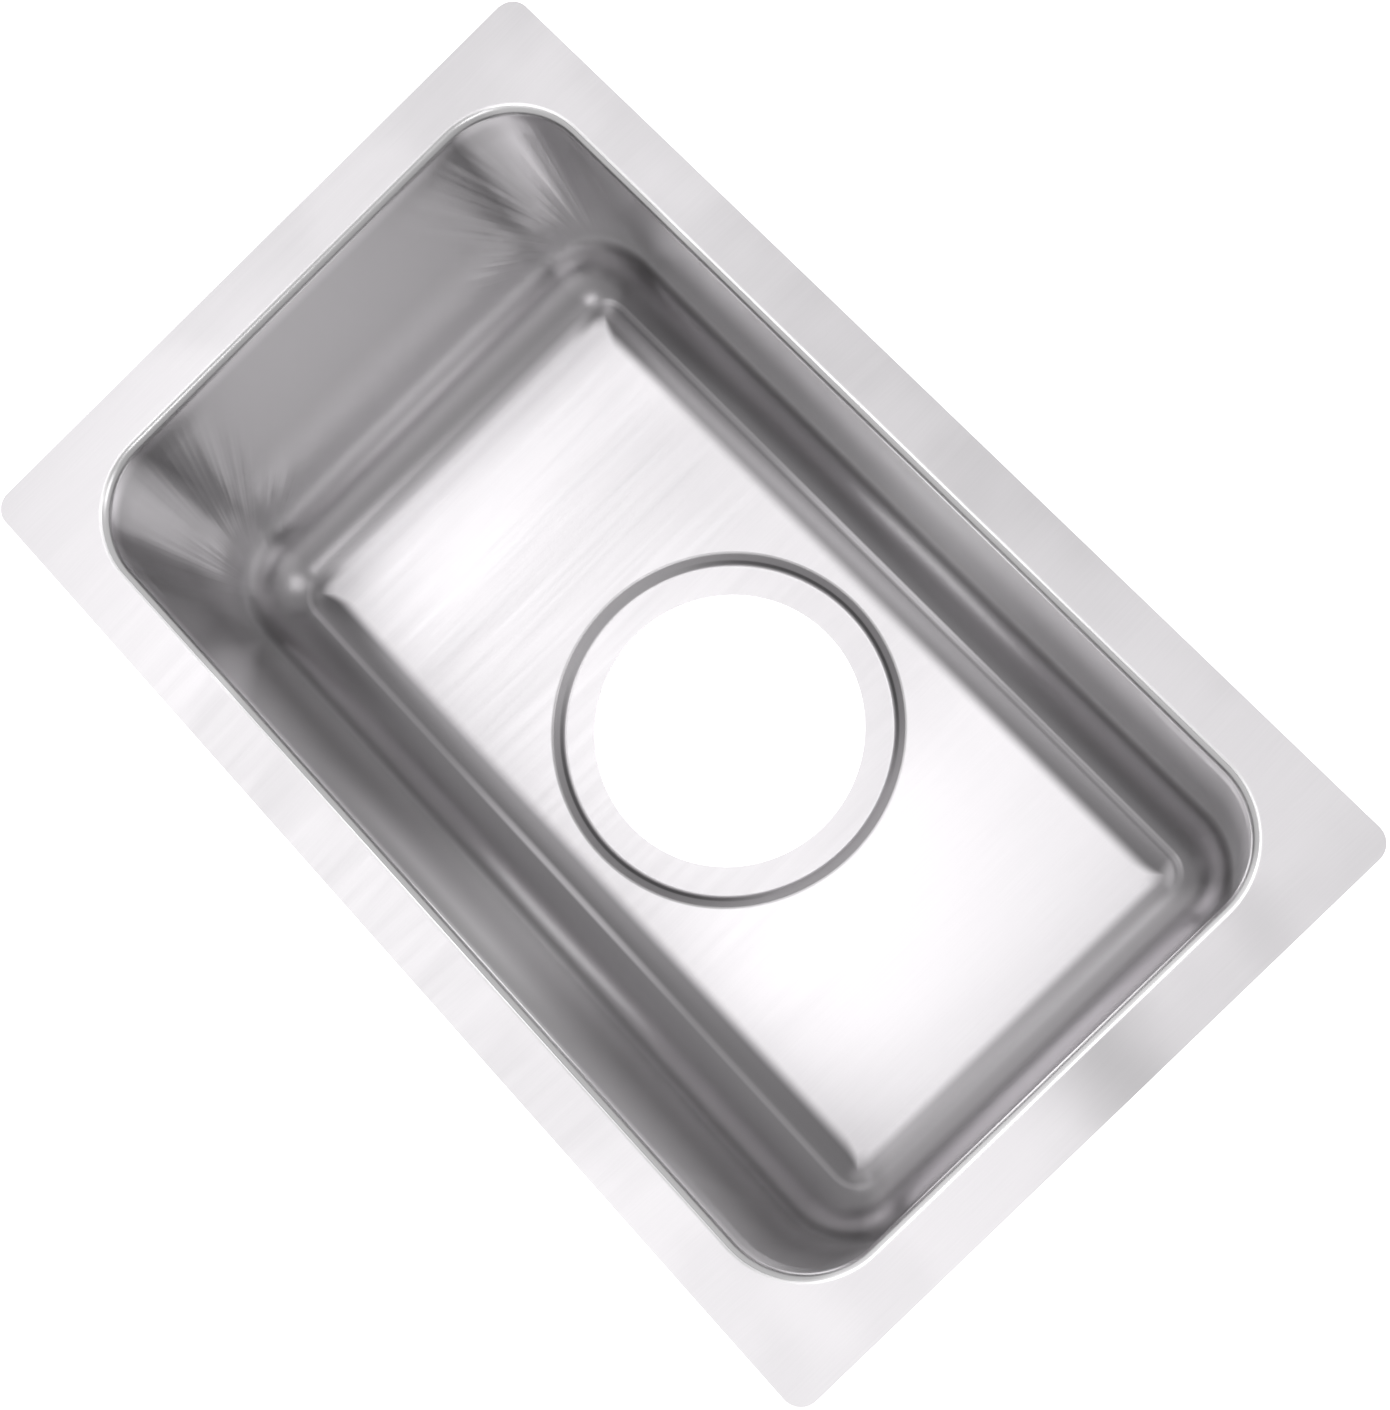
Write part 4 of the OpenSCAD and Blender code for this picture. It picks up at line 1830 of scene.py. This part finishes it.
    def clip(self) -> Piece:
        """Stamps the E-shaped clip: three prongs that grip the groove, with its mouth at +X.

        Returns:
            The clip.
        """
        low, high = self.room("retaining_clip")
        grip = self.groove + self.seat
        ends = (low.z - self.strip, high.z + self.strip)
        clip = Bench.turned("clip", [(high.y, low.z), (high.y, high.z)], 2 * self.turn_steps)
        lobes = [(self.lobe * grip, self.lobe_reach * grip, side * self.lobe_angle) for side in (-1, 1)]
        for radius, reach, angle in ((grip, 0.0, 0.0), *lobes):
            hole = Bench.turned("punch", [(radius, end) for end in ends], self.turn_steps)
            turn = math.radians(angle)
            Bench.edit(hole)
            bpy.ops.transform.translate(value=(reach * math.cos(turn), reach * math.sin(turn), 0))
            Bench.cut(clip, hole)
        half = Vector((high.y, self.mouth * grip / 2, self.strip))
        middle = Vector((high.y, 0, low.z))
        Bench.cut(clip, Bench.block("mouth", middle - half, middle + half))
        Bench.soften(clip, self.clip_round)
        Bench.smooth(clip)
        return clip

    def build(self) -> list[Piece]:
        """Makes one clamp's pieces and sets a mirrored copy of each at the four corners.

        Returns:
            The pieces of all four clamps.
        """
        finishes = (self.bracket_finish, self.zinc, self.phosphate)
        steel, zinc, phosphate = (finish.material() for finish in finishes)
        kinds = [
            (self.bracket(), "bracket", "folded_bracket", steel, "bracket_steel", "sink"),
            (self.weld_nut(), "weld_nut", "square_nut", zinc, "zinc_plate", "sink"),
            (self.screw(), "clamp_screw", "threaded_screw", zinc, "zinc_plate", "screw"),
            (self.clip(), "retaining_clip", "prong_clip", phosphate, "spring_steel", "screw"),
            (self.washer(), "guide_washer", "square_washer", zinc, "zinc_plate", "guide"),
            (self.arm(), "swing_arm", "claw_arm", zinc, "zinc_plate", "arm"),
        ]
        pieces = []
        for model, node, name, material, slot, part in kinds:
            for corner, signs in CORNERS.items():
                place = Vector((signs[0] * self.axis.x, signs[1] * self.axis.y, 0))
                turned = signs if node != "clamp_screw" else (1, 1)
                piece = Bench.place_copy(model, node, place, turned)
                body = SINK_BODY if part == SINK_BODY else f"{part}_{corner}"
                pieces.append(deliver(piece, f"{name}_{corner}", material, body, slot, f"{node}_{corner}"))
            bpy.data.objects.remove(model)
        return pieces


@dataclass(frozen=True)
class Softbox:
    """One rectangular lamp of the studio, aimed at the sink."""

    name: str
    place: Triple
    size: Span
    brightness: float
    aim: Triple = (0.0, 0.0, 0.1)

    def light(self) -> None:
        """Hangs the lamp."""
        lamp = bpy.data.lights.new(self.name, "AREA")
        lamp.shape = "RECTANGLE"
        lamp.size, lamp.size_y = self.size
        lamp.energy = math.pi * self.size[0] * self.size[1] * self.brightness
        holder = bpy.data.objects.new(self.name, lamp)
        bpy.context.scene.collection.objects.link(holder)
        holder.location = self.place
        holder.rotation_euler = (Vector(self.aim) - Vector(self.place)).to_track_quat("-Z", "Y").to_euler()


@dataclass
class Studio:
    """The pale floor, the soft light and the camera."""

    eye: Triple = (165.5 * MM, 20.0 * MM, 744.7 * MM)
    aim: Triple = (17.3 * MM, 1.6 * MM, 129.2 * MM)
    picture_turn: float = 46.72
    focal: float = 60.23
    film: float = 36.0
    floor_size: float = 12.0
    floor_drop: float = 0.3 * MM
    floor_white: float = 0.86
    floor_mottle: float = 0.985
    floor_patches: float = 3.0
    floor_roughness: float = 0.9
    floor_glow: float = 0.8
    air_white: float = 0.66
    softboxes: tuple[Softbox, ...] = (
        Softbox("over_right_front", (0.6, -0.375, 1.6), (0.48, 0.33), 3.8),
        Softbox("over_left_front", (-0.46, -0.4, 1.6), (1.2, 0.33), 1.75),
        Softbox("side_right_back", (0.74, 0.74, 1.44), (0.65, 0.65), 1.8),
        Softbox("over_right_back", (0.35, 0.375, 1.6), (0.33, 0.33), 0.8),
        Softbox("over_left_back", (-1.09, 0.375, 1.6), (0.7, 0.33), 0.8),
        Softbox("over_middle", (-0.38, -0.03, 1.6), (0.95, 0.33), 1.1),
    )

    def camera(self) -> None:
        """Sets the camera at the photograph's angle, with the picture's top turned from the sink's +Y."""
        lens = bpy.data.cameras.new("camera")
        lens.lens = self.focal
        lens.sensor_width = self.film
        holder = bpy.data.objects.new("camera", lens)
        bpy.context.scene.collection.objects.link(holder)
        forward = (Vector(self.aim) - Vector(self.eye)).normalized()
        turn = math.radians(self.picture_turn)
        right = forward.cross(Vector((-math.sin(turn), math.cos(turn), 0))).normalized()
        axes = Matrix((right, right.cross(forward), -forward)).transposed()
        holder.matrix_world = Matrix.Translation(self.eye) @ axes.to_4x4()
        bpy.context.scene.camera = holder

    def floor(self) -> None:
        """Lays the pale floor, which glows a little so that it stays white round the sink."""
        Bench.clear()
        bpy.ops.mesh.primitive_plane_add(size=self.floor_size, location=(0, 0, -self.floor_drop))
        floor = bpy.context.object
        floor.name = "studio_floor"
        board = Board("pale_floor")
        place, *_ = board.place()
        plain = (self.floor_white,) * 3
        mottled = (self.floor_white * self.floor_mottle,) * 3
        values = {
            "Base Color": board.blend(board.noise(place, self.floor_patches), plain, mottled),
            "Roughness": self.floor_roughness,
            "Emission Color": (1, 1, 1, 1),
            "Emission Strength": self.floor_glow,
        }
        board.finish(values)
        Bench.dress(floor, board.open_behind())
        floor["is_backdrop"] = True

    def air(self) -> None:
        """Fills the room with even white light."""
        world = bpy.data.worlds.new("studio_air")
        world.use_nodes = True
        background = world.node_tree.nodes["Background"]
        background.inputs["Color"].default_value = (self.air_white,) * 3 + (1,)
        bpy.context.scene.world = world

    def build(self) -> None:
        """Sets up the whole studio."""
        bpy.context.scene.view_settings.view_transform = "Standard"
        self.air()
        self.floor()
        for softbox in self.softboxes:
            softbox.light()
        self.camera()


def write_sizes() -> None:
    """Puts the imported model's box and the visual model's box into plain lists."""
    boxes = {"cad": cad_box, "visual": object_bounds()}
    plain = {name: [list(corner) for corner in box] for name, box in boxes.items()}


def main() -> None:
    """Builds the studio and every piece of the sink, and reports each one."""
    logging.basicConfig(level=logging.INFO, format="%(name)s: %(message)s")
    Studio().build()
    bowl = Bowl()
    pieces = [bowl.build(), Undercoat(bowl).build(), RimSeal().build()]
    pieces += SoundPads().build() + Clamps().build()
    for piece in pieces:
        log.info("%s has %d faces", piece.name, len(piece.data.polygons))
    write_sizes()


if __name__ == "__main__":
    main()
